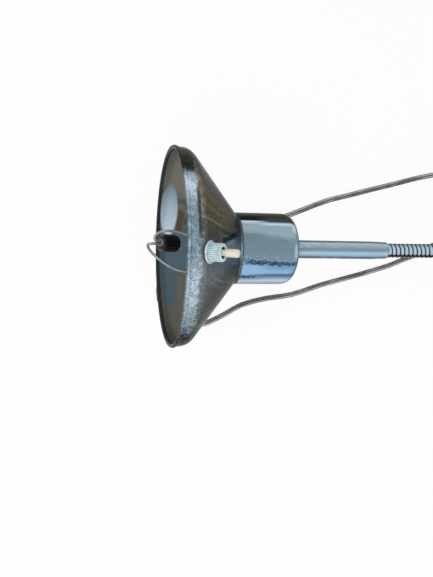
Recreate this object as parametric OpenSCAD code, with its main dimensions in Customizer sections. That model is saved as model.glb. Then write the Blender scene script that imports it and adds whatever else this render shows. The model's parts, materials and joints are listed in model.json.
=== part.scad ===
// Gooseneck desk lamp: round weighted base, rigid stem, flexible neck,
// cylindrical socket cup and flared chrome shade with a toggle switch.
// Millimetres, +Z up. The origin is the middle of the base's underside.
// At rest the neck arches over and holds the head level, its mouth towards -X.

/* [Base] */
// Outside diameter of the base cover
base_d = 148; // [136:2:170]
// Height of the cover's flat middle above the desk
base_h = 23; // [21:0.5:28]
// Wall of the base cover
cover_wall = 1.2; // [0.8:0.1:1.6]
// Diameter of the flat seat in the middle of the cover
cover_seat_d = 40; // [32:2:60]
// Slope of the cover's top, in degrees
crown_angle = 5; // [2:0.5:7]
// Radius of the cover's shoulder
base_shoulder = 9; // [6:0.5:10]
// Gap between the cover's lower edge and the desk
cover_lift = 0.8; // [0.5:0.1:1.2]
// Thickness of the non-slip pad
pad_t = 1.5; // [1:0.25:2]
// Gap between the weight and the cover's wall
weight_gap = 0.4; // [0.2:0.1:0.8]
// Depth of the hollow under the weight that holds the nut
recess_h = 14.5; // [13.5:0.5:15.5]
// Diameter of that hollow
recess_d = 34; // [28:1:44]

/* [Stem] */
// Outside diameter of the stem and of the sleeve on the head
tube_d = 13.7; // [13:0.1:15]
// Height of the top of the stem above the desk
stem_top = 110; // [90:5:150]
// Diameter of the collar around the stem's foot
collar_d = 27; // [20:1:36]
// Height of that collar
collar_h = 7; // [4:1:12]
// Diameter of the threaded ends that take the nuts
thread_d = 10; // [8:0.5:10.5]
// Bore of the threaded ends, for the lead
lead_way_d = 7.2; // [5:0.2:7.4]

/* [Neck] */
// Outside diameter of the neck
neck_d = 11.4; // [10.6:0.1:12]
// Diameter of the round wire that the neck is wound from
wire_d = 2.1; // [1.9:0.05:2.2]
// Pitch of the winding
pitch = 3.05; // [2.95:0.05:3.4]
// Spacing of the two turns on each side of a bending point
hinge_pitch = 3.3; // [3.25:0.05:3.6]
// Outside diameter of the flat inner winding that closes the grooves
liner_d = 9.8; // [9:0.1:10.4]
// Wall of the inner winding
liner_wall = 0.95; // [0.6:0.05:1.2]
// Length of neck that is pushed into the stem and into the sleeve
neck_grip = 6; // [4:0.5:9]
// Clearance of the neck in them, on the radius
grip_gap = 0.05; // [0.02:0.01:0.1]

/* [Sleeve] */
// Length of the sleeve that shows between the neck and the cup
sleeve_l = 76; // [50:2:100]
// Diameter of the sleeve's crimped end, at the neck
crimp_d = 12.7; // [12.5:0.1:13]
// Length over which the end is drawn down
crimp_l = 12; // [6:1:20]

/* [Cup] */
// Outside diameter of the socket cup
cup_d = 53.4; // [46:0.2:60]
// Length of the socket cup
cup_l = 48; // [44:1:60]
// Wall of the cup
cup_wall = 0.9; // [0.6:0.1:1.4]
// Radius of the cup's back corner
cup_corner = 9; // [6:0.5:12]
// How far the cup's back is domed
cup_dome = 3; // [2:0.5:5]
// Diameter of the flat seat in the middle of the back
cup_seat_d = 18; // [17:1:24]

/* [Shade] */
// Outside diameter of the shade at its mouth
shade_d = 145.4; // [125:0.5:170]
// Sheet thickness of the shade
shade_wall = 0.8; // [0.6:0.05:1.2]
// Length of the nearly straight band at the mouth
band_l = 6.5; // [4:0.5:10]
// Taper of that band, in degrees
band_angle = 5; // [2:0.5:8]
// Radius of the bend between band and cone
shade_bend = 11; // [6:0.5:14]
// Half angle of the cone
cone_angle = 51.3; // [46:0.1:56]
// Radius of the hollow between cone and collar
collar_fillet = 1.5; // [1:0.25:4]
// Length of the collar that shows in front of the cup
shade_collar_l = 0.4; // [0.2:0.2:3]
// Length of the collar inside the cup
spigot_l = 7; // [4:0.5:10]
// Clearance of that collar in the cup, on the radius
spigot_gap = 0.05; // [0.02:0.01:0.1]
// Diameter of the rolled bead around the mouth
bead_d = 3; // [2:0.1:4]
// How far the bead stands proud of the band
bead_proud = 0.6; // [0.3:0.1:1]

/* [Lamp holder] */
// Diameter of the lamp holder's body
holder_d = 27; // [22:0.5:30]
// Length of the lamp holder's body
holder_l = 37; // [34:1:42]
// Inside diameter of the screw shell that takes the lamp's cap
shell_bore_d = 13.9; // [13.5:0.1:14.5]
// Wall of the screw shell
shell_wall = 0.5; // [0.4:0.05:0.8]
// Length of the screw shell
shell_l = 17; // [14:0.5:19]
// Size across the flats of the hexagon nuts
nut_af = 14; // [13:0.5:17]
// Thickness of the hexagon nuts
nut_t = 3; // [2:0.25:3.5]
// Thickness of the washers
washer_t = 1; // [0.6:0.1:1.4]

/* [Switch] */
// Distance of the switch behind the mouth
switch_t = 15.5; // [15:0.5:30]
// Turn of the switch around the head, in degrees
switch_turn = -6; // [-30:0.5:30]
// Diameter of the threaded bushing
bushing_d = 10; // [9:0.25:10.5]
// Diameter of the washer under the nut
switch_washer_d = 15; // [13:0.5:18]
// Diameter of the long ribbed nut
switch_nut_d = 12; // [11.5:0.1:13]
// Height of that nut
switch_nut_h = 8.8; // [7:0.2:11]
// Diameter of the lever's tip
lever_d = 5.3; // [4.5:0.1:5.6]
// Length of the lever above its ball
lever_l = 16; // [13:0.5:20]
// Tilt of the lever to either side, in degrees
lever_tilt = 12; // [8:0.5:12]
// Depth of the switch's body behind the sheet
switch_body_h = 9.5; // [8.5:0.5:12]

/* [Splice] */
// Diameter of the insulating cap over the splice
cap_d = 13.2; // [11:0.2:16]
// Length of that cap
cap_l = 17; // [14:0.5:20]
// Diameter of the single leads in the head
lead_d = 2; // [1.6:0.1:2.4]

/* [Cord] */
// Width of the flat twin cord
cord_w = 5.2; // [4.6:0.1:5.6]
// Thickness of the flat twin cord
cord_t = 3.2; // [2.6:0.1:3.4]
// Height at which the cord leaves the base
exit_h = 7; // [6.6:0.1:7.6]
// Turn of the cord's exit around the base, in degrees from +X
exit_turn = 170; // [165:1:175]
// Length of the tapered strain relief
relief_l = 24; // [20:1:30]
// Diameter of the lead inside the stem and the neck
core_d = 3.2; // [2.8:0.2:3.4]

/* [Hidden] */
$fn = 64;
fine = 96;
links = 24;
turns_per_link = 4;
link_l = (turns_per_link - 1) * pitch + hinge_pitch;

// Bend of the neck at each of its points, at rest: the first ones arch it
// forwards, the middle ones lie straight, the last ones level the head.
low_hinges = 10;
side_hinges = 6;
high_hinges = links - 1 - low_hinges - side_hinges;
arch_angle = 105;
level_angle = arch_angle - 90;
low_bend = arch_angle / low_hinges;
high_bend = -level_angle / high_hinges;

function link_name(i) = str("neck_link_", i < 10 ? "0" : "", i);
function bend(i) = i <= low_hinges ? low_bend : i <= low_hinges + side_hinges ? 0 : high_bend;
// Lean of link i from upright towards -X, counted from link 1
function lean(i) = i <= 1 ? 0 : lean(i - 1) + bend(i - 1);
function along(a) = [-sin(a), 0, cos(a)];
// Point at which link i starts; the one past the last is where the neck ends
function start(i) = i <= 1 ? [0, 0, stem_top - neck_grip] : start(i - 1) + link_l * along(lean(i - 1));
neck_end = start(links + 1);

chrome = [0.80, 0.82, 0.84];
steel = [0.62, 0.63, 0.65];
brass = [0.80, 0.66, 0.32];
bakelite = [0.06, 0.05, 0.05];
cream = [0.90, 0.93, 0.88];
clear_grey = [0.62, 0.63, 0.60];

// Base
base_r = base_d / 2;
seat_r = cover_seat_d / 2;
spigot_r = thread_d / 2;
thread_gap = 0.1;
stem_foot = base_h;
recess_top = pad_t + recess_h;
foot_washer_d = 24;
foot_nut_t = 4;
foot_spigot = foot_nut_t + washer_t + 0.8;
channel_w = 12.4;
channel_top = exit_h + 5.6;

// Stem, neck and sleeve
tube_r = tube_d / 2;
neck_r = neck_d / 2;
grip_r = neck_r + grip_gap;
ring_r = neck_r - wire_d / 2;
// Ball seat at each bending point, clear of the turns on both sides of it
core_way_r = core_d / 2 + 0.6;
socket_r = norm([ring_r, hinge_pitch / 2]) - wire_d / 2 - 0.1;
joint_r = socket_r - 0.8 - grip_gap;
socket_lip = 0.6;
web_t = 1.3;
ferrule_l = 8;
ferrule_wall = 2;
socket_l = neck_grip + ferrule_l;

// Head, measured along its axis from the end of the neck
sleeve_start = -neck_grip;
cup_back = sleeve_l + sleeve_start;
cup_front = cup_back + cup_l;
shade_r = shade_d / 2;
nipple_grip = 10;
nipple_out = cup_wall + washer_t + nut_t + 8;
holder_seat = cup_back + cup_wall + washer_t + nut_t + 0.1;
holder_mouth = holder_seat + holder_l;
cup_r = cup_d / 2;
seat_out_r = cup_seat_d / 2;

// Outline of the shade, as distance behind the mouth and radius. A wall point
// lies d inside the outer sheet; every bend keeps its centre.
function inward(a) = [-sin(a), -cos(a)];
function heading(a) = [cos(a), -sin(a)];
band_end = [0, shade_r] + band_l * heading(band_angle);
bend_centre = band_end + shade_bend * inward(band_angle);
cone_start = bend_centre - shade_bend * inward(cone_angle);
cone_end_r = cup_r + collar_fillet * (1 - cos(cone_angle));
cone_l = (cone_start[1] - cone_end_r) / sin(cone_angle);
cone_end = cone_start + cone_l * heading(cone_angle);
fillet_centre = cone_end - collar_fillet * inward(cone_angle);
collar_start = fillet_centre[0];
spigot_seat_t = collar_start + shade_collar_l;
mouth = cup_front + spigot_seat_t;
function shade_line(d) = concat(
    [[0, shade_r] + d * inward(band_angle)],
    [for (a = [band_angle:(cone_angle - band_angle) / 8:cone_angle + 0.01])
        bend_centre + (d - shade_bend) * inward(a)],
    [for (a = [cone_angle:-cone_angle / 5:-0.01]) fillet_centre + (d + collar_fillet) * inward(a)]);
function turned_over(points) = [for (i = [len(points) - 1:-1:0]) points[i]];

// Point on the outside of the cone at a distance behind the mouth
function cone_r(t) = cone_start[1] - (t - cone_start[0]) * tan(cone_angle);

// Switch, along its own axis from the outside of the sheet
switch_washer_t = 1.2;
nut_top = switch_washer_t + switch_nut_h;
bushing_top = nut_top - 1;
ball_r = 3;
ball_h = nut_top - 4;
bushing_bore_r = 3.4;
lever_neck_r = 2.1;
tail_l = 6;
body_w = 12;
body_l = 11;
// Height of the switch body's top, a little under the sheet because the shade curves
body_top = -shade_wall - 0.9;
tab_h = 4;
tab_side = 3.5;
// Point in the middle of a terminal, past its end, in the frame of at_mouth
function past_tab(side, past) = let (
    p = [cone_r(switch_t), 0, -switch_t] + [0, side * tab_side, 0]
        + (body_top - switch_body_h - tab_h - past) * [cos(cone_angle), 0, -sin(cone_angle)])
    [p[0] * cos(switch_turn) - p[1] * sin(switch_turn),
     p[0] * sin(switch_turn) + p[1] * cos(switch_turn), p[2]];

// Places the children in the head's frame: z towards the mouth, x upwards
module on_head() translate(neck_end) rotate([0, -lean(links), 0]) children();
// Places the children with z out of the mouth and z = 0 in the mouth's plane
module at_mouth() on_head() translate([0, 0, mouth]) children();
// Places the children on the switch's axis
module on_switch()
    at_mouth() rotate([0, 0, switch_turn])
    translate([cone_r(switch_t), 0, -switch_t]) rotate([0, 90 + cone_angle, 0]) children();
// Places the children on link i
module on_link(i) translate(start(i)) rotate([0, -lean(i), 0]) children();
// Turns a profile that runs backwards from the mouth into a solid
module spun_from_mouth() at_mouth() mirror([0, 0, 1]) rotate_extrude($fn = fine) children();
module ring(r_out, r_in, h) difference() {
    cylinder(r = r_out, h = h);
    translate([0, 0, -1]) cylinder(r = r_in, h = h + 2);
}
module hex_nut(af, bore_r, h) difference() {
    cylinder(r = af / 2 / cos(30), h = h, $fn = 6);
    translate([0, 0, -1]) cylinder(r = bore_r, h = h + 2);
}

// A smooth curve through hand-picked points, and a tube swept along it
function unit(v) = v / norm(v);
function between(a, b, c, d, t) = 0.5 * (2 * b + (c - a) * t
    + (2 * a - 5 * b + 4 * c - d) * t * t + (3 * b - a - 3 * c + d) * t * t * t);
function curve(p, steps) = let (n = len(p) - 1) concat(
    [for (i = [0:n - 1]) for (k = [0:steps - 1])
        between(p[max(i - 1, 0)], p[i], p[i + 1], p[min(i + 2, n)], k / steps)], [p[n]]);
// A sideways direction made square to the way the path runs
function squared(t, s) = unit(s - t * (s * t));
module tube(path, width, height, sides, aside) {
    n = len(path);
    ways = [for (i = [0:n - 1]) unit(path[min(i + 1, n - 1)] - path[max(i - 1, 0)])];
    across = [for (i = 0, s = squared(ways[0], aside); i < n;
        i = i + 1, s = i < n ? squared(ways[i], s) : s) s];
    points = [for (i = [0:n - 1]) let (up = cross(ways[i], across[i])) for (k = [0:sides - 1])
        path[i] + across[i] * cos(360 * (k + 0.5) / sides) * width / 2
        + up * sin(360 * (k + 0.5) / sides) * height / 2];
    skin = [for (i = [0:n - 2]) for (k = [0:sides - 1])
        let (a = i * sides + k, b = i * sides + (k + 1) % sides)
        each [[a, a + sides, b], [b, a + sides, b + sides]]];
    polyhedron(points, concat([[for (k = [0:sides - 1]) k]], skin,
        [[for (k = [sides - 1:-1:0]) (n - 1) * sides + k]]), convexity = 10);
}

// Base ---------------------------------------------------------------------

slope_end_r = base_r - base_shoulder + base_shoulder * sin(crown_angle);
slope_end_h = base_h - (slope_end_r - seat_r) * tan(crown_angle);
shoulder_h = slope_end_h - base_shoulder * cos(crown_angle);
// Right half of the cover's section at a depth d under its outside
function cover_line(d) = concat(
    [[seat_r - d * tan(crown_angle / 2), base_h - d]],
    [for (a = [90 - crown_angle:-(90 - crown_angle) / 8:-0.01])
        [base_r - base_shoulder, shoulder_h] + (base_shoulder - d) * [cos(a), sin(a)]]);

module at_exit() rotate([0, 0, exit_turn]) translate([base_r, 0, exit_h]) rotate([0, 90, 0]) children();

module base_cover() color(chrome) difference() {
    rotate_extrude($fn = fine) polygon(concat(
        [[spigot_r + thread_gap, base_h - cover_wall], [spigot_r + thread_gap, base_h]],
        cover_line(0), [[base_r, cover_lift], [base_r - cover_wall, cover_lift]],
        turned_over(cover_line(cover_wall))));
    at_exit() translate([0, 0, -base_r / 2]) cylinder(r = relief_neck_r + 0.05, h = base_r);
}

module base_weight() color(bakelite) difference() {
    under = cover_wall + weight_gap;
    rotate_extrude($fn = fine) polygon(concat(
        [[spigot_r + thread_gap, pad_t], [spigot_r + thread_gap, base_h - cover_wall],
         [seat_r - 1, base_h - cover_wall], [seat_r - 1, base_h - under]],
        cover_line(under), [[base_r - under, pad_t]]));
    translate([0, 0, pad_t - 1]) cylinder(d = recess_d, h = recess_h + 1);
    rotate([0, 0, exit_turn]) translate([0, -channel_w / 2, pad_t - 1])
        cube([base_r, channel_w, channel_top - pad_t + 1]);
}

module base_pad() color(bakelite) cylinder(r = base_r - cover_wall - weight_gap - 1, h = pad_t, $fn = fine);

module base_washer() color(steel)
    translate([0, 0, recess_top - washer_t]) ring(foot_washer_d / 2, spigot_r + thread_gap, washer_t);

module base_nut() color(steel)
    translate([0, 0, recess_top - washer_t - foot_nut_t]) hex_nut(nut_af, spigot_r + 0.05, foot_nut_t);

// Stem and neck --------------------------------------------------------------

module stem() color(chrome) difference() {
    union() {
        translate([0, 0, stem_foot]) cylinder(r = tube_r, h = stem_top - stem_foot);
        translate([0, 0, recess_top - foot_spigot])
            cylinder(r = spigot_r, h = stem_foot - recess_top + foot_spigot);
    }
    cylinder(d = lead_way_d, h = stem_top);
    translate([0, 0, stem_top - socket_l]) cylinder(r = grip_r, h = socket_l + 1);
}

module stem_collar() color(chrome) translate([0, 0, stem_foot]) rotate_extrude($fn = fine) polygon([
    [tube_r + thread_gap, 0], [collar_d / 2, 0], [collar_d / 2, 2.2], [collar_d / 2 - 1, 3.2],
    [tube_r + 3, collar_h - 1.5], [tube_r + 1.8, collar_h], [tube_r + thread_gap, collar_h]]);

module winding() rotate_extrude(convexity = 6) union() {
    for (k = [0:turns_per_link - 1]) translate([ring_r, hinge_pitch / 2 + k * pitch])
        circle(d = wire_d, $fn = 32);
    translate([liner_d / 2 - liner_wall, hinge_pitch / 2]) square([liner_wall, (turns_per_link - 1) * pitch]);
}

// Each link's ball sits in the socket of the next and carries it
module neck_link(i) color(chrome) on_link(i) difference() {
    union() {
        winding();
        for (z = [hinge_pitch / 2, link_l - hinge_pitch / 2 - web_t]) translate([0, 0, z])
            cylinder(d = liner_d, h = web_t);
        if (i > 1) difference() {
            sphere(r = socket_r);
            translate([0, 0, -socket_r - socket_lip]) cylinder(r = socket_r + 1, h = socket_r);
        }
        if (i < links) translate([0, 0, link_l]) sphere(r = joint_r);
        if (i < links) translate([0, 0, link_l - hinge_pitch / 2 - web_t])
            cylinder(r = core_way_r + 0.4, h = hinge_pitch / 2 + web_t);
    }
    if (i > 1) sphere(r = joint_r + grip_gap);
    translate([0, 0, -socket_r]) cylinder(r = core_way_r, h = link_l + 2 * socket_r);
}

module ferrule() ring(neck_r, neck_r - ferrule_wall, ferrule_l);
module neck_ferrule_lower() color(brass) translate([0, 0, stem_top - socket_l]) ferrule();
module neck_ferrule_upper() color(brass) on_head() translate([0, 0, 0.3]) ferrule();

// Head -----------------------------------------------------------------------

module neck_sleeve() color(chrome) on_head() difference() {
    rotate_extrude() polygon([
        [0, sleeve_start], [crimp_d / 2, sleeve_start], [tube_r, sleeve_start + crimp_l],
        [tube_r, cup_back], [0, cup_back]]);
    translate([0, 0, sleeve_start - 1]) cylinder(r = grip_r, h = neck_grip + 1.3 + ferrule_l);
    translate([0, 0, sleeve_start]) cylinder(d = lead_way_d, h = sleeve_l + 1);
    translate([0, 0, cup_back - nipple_grip]) cylinder(r = spigot_r + 0.05, h = nipple_grip + 1);
}

// Outline of the cup from its seat to its mouth, d inside the outer sheet
dome_end_r = cup_r - cup_corner;
function cup_line(d) = concat(
    [[seat_out_r, cup_back + d]],
    [for (a = [-72:72 / 8:0.01])
        [dome_end_r, cup_back + cup_dome + cup_corner] + (cup_corner - d) * [cos(a), sin(a)]]);

module cup() color(chrome) on_head() rotate_extrude($fn = fine) polygon(concat(
    [[spigot_r + thread_gap, cup_back + cup_wall], [spigot_r + thread_gap, cup_back]],
    cup_line(0), [[cup_r, cup_front], [cup_r - cup_wall, cup_front]], turned_over(cup_line(cup_wall))));

module cup_nipple() color(brass) on_head()
    translate([0, 0, cup_back - nipple_grip]) ring(spigot_r, lead_way_d / 2, nipple_grip + nipple_out);

module cup_washer() color(steel) on_head()
    translate([0, 0, cup_back + cup_wall]) ring(seat_out_r - 0.5, spigot_r + thread_gap, washer_t);

module cup_nut() color(steel) on_head()
    translate([0, 0, cup_back + cup_wall + washer_t]) hex_nut(nut_af, spigot_r + 0.05, nut_t);

shell_r = shell_bore_d / 2;
shell_base = holder_mouth - shell_l - 1;
module holder_body() color(bakelite) on_head() difference() {
    translate([0, 0, holder_seat]) union() {
        cylinder(d = holder_d - 7, h = holder_l);
        translate([0, 0, 6]) cylinder(d = holder_d, h = holder_l - 9);
    }
    translate([0, 0, shell_base - 4]) cylinder(r = shell_r + shell_wall + 0.05, h = holder_l);
    translate([0, 0, holder_seat - 1]) cylinder(r = spigot_r + 0.05, h = 9);
    translate([0, 0, holder_seat]) cylinder(r = 3, h = holder_l);
}

module holder_shell() color(brass) on_head()
    translate([0, 0, shell_base]) ring(shell_r + shell_wall, shell_r, shell_l);

contact_w = 4;
module holder_contact() color(brass) on_head() translate([0, 0, shell_base - 4]) union() {
    translate([-contact_w / 2, -shell_r + 0.5, 0]) cube([contact_w, 2 * shell_r - 1, 0.5]);
    translate([0, 0, 0.4]) cylinder(r = 1.8, h = 2.6);
}

// Two terminal screws on the sides of the lamp holder
screw_at = holder_seat + 14;
module holder_screws() color(brass) on_head() for (s = [-1, 1])
    translate([0, s * holder_d / 2, screw_at]) rotate([-90 * s, 0, 0]) difference() {
        cylinder(r = 2.6, h = 1.8);
        translate([-3, -0.4, 1]) cube([6, 0.8, 2]);
    }

module shade() color(chrome) difference() {
    spun_from_mouth() union() {
        polygon([for (p = concat(
            shade_line(0), [[spigot_seat_t, cup_r], [spigot_seat_t, cup_r - cup_wall - spigot_gap],
             [spigot_seat_t + spigot_l, cup_r - cup_wall - spigot_gap],
             [spigot_seat_t + spigot_l, cup_r - cup_wall - spigot_gap - shade_wall],
             [collar_start, cup_r - cup_wall - spigot_gap - shade_wall]],
            turned_over(shade_line(shade_wall)))) [p[1], p[0]]]);
        translate([shade_r + bead_proud - bead_d / 2, bead_d / 2 - 0.2]) circle(d = bead_d, $fn = 32);
    }
    on_switch() translate([0, 0, -4]) cylinder(r = bushing_d / 2 + thread_gap, h = 8);
}

// Switch ---------------------------------------------------------------------

module switch_body() color(bakelite) on_switch() difference() {
    union() {
        translate([-body_l / 2, -body_w / 2, body_top - switch_body_h])
            cube([body_l, body_w, switch_body_h]);
        translate([0, 0, -2]) cylinder(d = bushing_d, h = bushing_top + 2);
    }
    translate([0, 0, ball_h - tail_l - 1]) cylinder(r = bushing_bore_r, h = 30);
}

module switch_washer() color(cream) on_switch()
    translate([0, 0, 0.1]) ring(switch_washer_d / 2, bushing_d / 2 + thread_gap, switch_washer_t - 0.1);

rib_n = 28;
module switch_nut() color(cream) on_switch() translate([0, 0, switch_washer_t]) difference() {
    union() {
        cylinder(d = switch_nut_d - 0.5, h = switch_nut_h);
        for (k = [0:rib_n - 1]) rotate([0, 0, 360 * k / rib_n])
            translate([switch_nut_d / 2 - 0.6, -0.3, 0.8]) cube([0.6, 0.6, switch_nut_h - 1.6]);
    }
    translate([0, 0, -1]) cylinder(r = bushing_d / 2 + 0.05, h = switch_nut_h);
    cylinder(r = 4, h = switch_nut_h + 1);
}

// The lever leans towards the mouth at rest and snaps over to the other side
module switch_lever() color(cream) on_switch() translate([0, 0, ball_h]) rotate([0, -lever_tilt, 0]) union() {
    sphere(r = ball_r);
    rotate_extrude() polygon([
        [0, -tail_l + 1], [1.2, -tail_l + 1], [1.2, 0], [lever_neck_r, 0], [lever_neck_r, 5.5],
        [lever_d / 2, 7.5], [lever_d / 2, lever_l - 0.8], [lever_d / 2 - 0.8, lever_l], [0, lever_l]]);
}

module switch_terminals() color(brass) on_switch() for (s = [-1, 1])
    translate([-0.4, s * tab_side - 1.5, body_top - switch_body_h - tab_h]) cube([0.8, 3, tab_h]);

// Leads in the head ------------------------------------------------------------

// Points in the head's frame, z measured out of the mouth
cap_at = [-17.5, 4.3, -1.7];
cap_lift = 37;
cap_mouth_r = 3.2;
feed_route = concat([past_tab(1, 0.2), past_tab(1, 5)],
    [[44, 0, -14], [30, 4, -13], [16, 7.5, -10.5], [4, 10.5, -6.5], [-5, 12.5, -1.5],
     [-9, 12, 4.5], [-9.3, 9.3, 8.8], [-9.3, 6.4, 9.4], [-10.9, 5.35, 7.1], [-14.6, 5.35, 2.2]]);
return_route = [[-14.6, 3.25, 2.2], [-10.9, 3.25, 7.1], [-9.1, 3.2, 10.8], [-10, 2.5, 14.3],
    [-12, -0.7, 13.3], [-12.5, -5.3, 9.2], [-11, -10.5, 3.1], [-8, -14.2, -2.3], [-4, -16.8, -7.6],
    [0, -19, -20], [0, -19.5, -40], [0, -17.8, -59], [0, -16.4, -69], [0, -16.4, -78]];
tail_route = concat([past_tab(-1, 0.2), past_tab(-1, 5)],
    [[44, -8, -17], [33, -4, -26], [22, 6, -36], [12, 14, -46], [4, 18, -56], [0, 16.4, -69],
     [0, 16.4, -78]]);

module at_cap() at_mouth() translate(cap_at) rotate([0, cap_lift, 0]) children();

module splice_cap() color(bakelite) at_cap() translate([0, 0, -cap_l / 2]) difference() {
    union() {
        cylinder(d = cap_d, h = cap_l - 2);
        translate([0, 0, cap_l - 2]) cylinder(d1 = cap_d, d2 = cap_d - 3, h = 2);
    }
    translate([0, 0, 4]) cylinder(r = cap_mouth_r, h = cap_l);
}

// Two single leads, and the sleeve around them in the cap's mouth
module splice_leads() color(clear_grey) {
    at_mouth() tube(curve(feed_route, 3), lead_d, lead_d, 8, [0, 1, 0]);
    at_mouth() tube(curve(return_route, 3), lead_d, lead_d, 8, [0, 1, 0]);
    at_cap() translate([0, 0, cap_l / 2 - 4]) ring(cap_mouth_r - 0.05, lead_d + 0.15, 4.5);
}

module switch_lead() color(clear_grey) at_mouth() tube(curve(tail_route, 3), lead_d, lead_d, 8, [0, 1, 0]);

// Lead from the cord's exit up the stem and along the neck to the lamp holder
core_h = 6;
core_rise = 7;
neck_lead_route = concat(
    [[cos(exit_turn), sin(exit_turn), 0] * (base_r + relief_l) + [0, 0, exit_h],
     [cos(exit_turn), sin(exit_turn), 0] * base_r + [0, 0, exit_h],
     [cos(exit_turn), sin(exit_turn), 0] * base_r / 2 + [0, 0, exit_h],
     [cos(exit_turn), sin(exit_turn), 0] * core_rise + [0, 0, core_h],
     [0, 0, core_h + core_rise], [0, 0, stem_foot], [0, 0, stem_top / 2]],
    [for (i = [1:links]) start(i) + link_l / 2 * along(lean(i))],
    [for (z = [20, cup_back - 10, holder_seat + 8]) neck_end + z * along(lean(links))]);
module neck_lead() color(clear_grey) tube(curve(neck_lead_route, 2), core_d, core_d, 8, [0, 1, 0]);

// Cord ---------------------------------------------------------------------------

relief_neck_r = 4.5;
relief_tip_r = 3.2;
module cord_relief() color(clear_grey) at_exit() difference() {
    rotate_extrude() polygon([
        [0, -cover_wall - 2.6], [5.1, -cover_wall - 2.6], [5.1, -cover_wall - 0.3],
        [relief_neck_r, -cover_wall - 0.3], [relief_neck_r, 0], [6, 0], [6, 2], [4.8, 3],
        [relief_tip_r, relief_l], [0, relief_l]]);
    translate([0, 0, -10]) cylinder(d = core_d + 0.2, h = relief_l + 20);
}

cord_lie = cord_t / 2 + 0.1;
relief_tip = [cos(exit_turn), sin(exit_turn), 0] * (base_r + relief_l + 0.4) + [0, 0, exit_h];
relief_out = relief_tip + [cos(exit_turn), sin(exit_turn), 0] * 8;
cord_drop = [-115, 15, 3.6];
// Points on the desk that the cord passes, from the base to the coil
desk_route = [[-128, 7], [-145, 1], [-163, -5], [-189, -12], [-216, -19], [-241, -26], [-270, -36],
    [-298, -41], [-322, -45], [-337, -52], [-356, -62], [-372, -66], [-386, -63], [-397, -54],
    [-403, -40], [-403, -24], [-397, -8], [-386, 6], [-371, 17], [-351, 26], [-326, 33], [-299, 40],
    [-267, 49], [-235, 58], [-209, 65], [-183, 72], [-156, 79], [-130, 86], [-106, 91], [-83, 95]];
coil_at = [-68, 133];
coil_mid_r = 27;
coil_half_w = 10.9;
coil_h = 7.6;
coil_lift = 0.9;
cord_in = [-60, 98.7];
lead_out = [[-37, 115.8], [-31, 125], [-27, 138], [-26, 149.8]];

function on_desk(points) = [for (p = points) [p[0], p[1], cord_lie]];
module power_cord() color(clear_grey)
    tube(curve(concat([relief_tip, relief_out, cord_drop], on_desk(desk_route), on_desk([cord_in])), 2),
        cord_w, cord_t, 8, [-sin(exit_turn), cos(exit_turn), 0]);

module cord_coil() color(clear_grey) translate([coil_at[0], coil_at[1], coil_lift]) rotate_extrude($fn = fine)
    polygon([for (s = [[-1, 0.1], [-0.9, 0], [0.9, 0], [1, 0.1], [1, 0.85], [0.8, 1], [-0.8, 1], [-1, 0.85]])
        [coil_mid_r + s[0] * coil_half_w, s[1] * (coil_h - coil_lift)]]);

tie_turn = 135;
tie_w = 8;
tie_t = 0.8;
module cord_tie() color(bakelite) translate(concat(coil_at, 0)) rotate([0, 0, tie_turn]) difference() {
    translate([coil_mid_r - coil_half_w - tie_t - 0.3, -tie_w / 2, 0])
        cube([2 * (coil_half_w + tie_t + 0.3), tie_w, coil_h + tie_t + 0.1]);
    translate([0, 0, coil_lift - 0.1])
        ring(coil_mid_r + coil_half_w + 0.1, coil_mid_r - coil_half_w - 0.1, coil_h - coil_lift + 0.2);
}

module plug_lead() color(clear_grey) tube(curve(on_desk(lead_out), 3), cord_w, cord_t, 8, [1, 0, 0]);

// Flat two-pin plug, lying on its side
plug_at = [-26, 150, 0];
plug_l = 36;
plug_w = 26;
plug_tail_w = 12;
plug_t = 13.5;
plug_lift = 0.1;
module plug_body() color(bakelite) translate(plug_at + [0, 0, plug_lift]) difference() {
    linear_extrude(plug_t) polygon([
        [-plug_tail_w / 2, 0], [plug_tail_w / 2, 0], [plug_w / 2, 12], [plug_w / 2, plug_l],
        [-plug_w / 2, plug_l], [-plug_w / 2, 12]]);
    for (s = [-1, 1]) translate([s * plug_pin_gap / 2, plug_l - 8, plug_t / 2]) rotate([-90, 0, 0])
        cylinder(d = plug_shank_d + 0.1, h = 20);
}

plug_pin_gap = 18.6;
plug_pin_d = 4;
// The thinner part of each pin that is held in the body
plug_shank_d = 3.2;
plug_pin_l = 19;
module plug_pins() color(brass) translate(plug_at + [0, 0, plug_lift]) for (s = [-1, 1])
    translate([s * plug_pin_gap / 2, plug_l - 8, plug_t / 2]) rotate([-90, 0, 0]) {
        cylinder(d = plug_shank_d, h = 8);
        translate([0, 0, 8]) cylinder(d = plug_pin_d, h = plug_pin_l - 1);
        translate([0, 0, plug_pin_l + 7]) cylinder(d1 = plug_pin_d, d2 = plug_pin_d - 2, h = 1);
    }

base_cover();
base_weight();
base_pad();
base_nut();
base_washer();
stem();
stem_collar();
neck_ferrule_lower();
neck_ferrule_upper();
for (i = [1:links]) neck_link(i);
neck_sleeve();
cup();
cup_nipple();
cup_washer();
cup_nut();
holder_body();
holder_shell();
holder_contact();
holder_screws();
shade();
switch_body();
switch_washer();
switch_nut();
switch_lever();
switch_terminals();
splice_cap();
splice_leads();
switch_lead();
neck_lead();
cord_relief();
power_cord();
cord_coil();
cord_tie();
plug_lead();
plug_body();
plug_pins();
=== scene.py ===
# %% [markdown]
# # A chrome gooseneck desk lamp
#
# The lamp is a weighted round base with a short stiff stem, a wound flexible
# neck, and a head: a sleeve, a socket cup and a flared spun shade with a toggle
# switch in its side. This notebook dresses the lamp's solid model. Each piece is
# first explained, then made, and then told which part of the lamp it moves with.
#
# Everything is in metres. The origin is the middle of the base's underside, Z is
# up, and the shade's mouth looks towards -X.

import json
import math

import bpy
import numpy as np
from mathutils import Matrix, Vector


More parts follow.
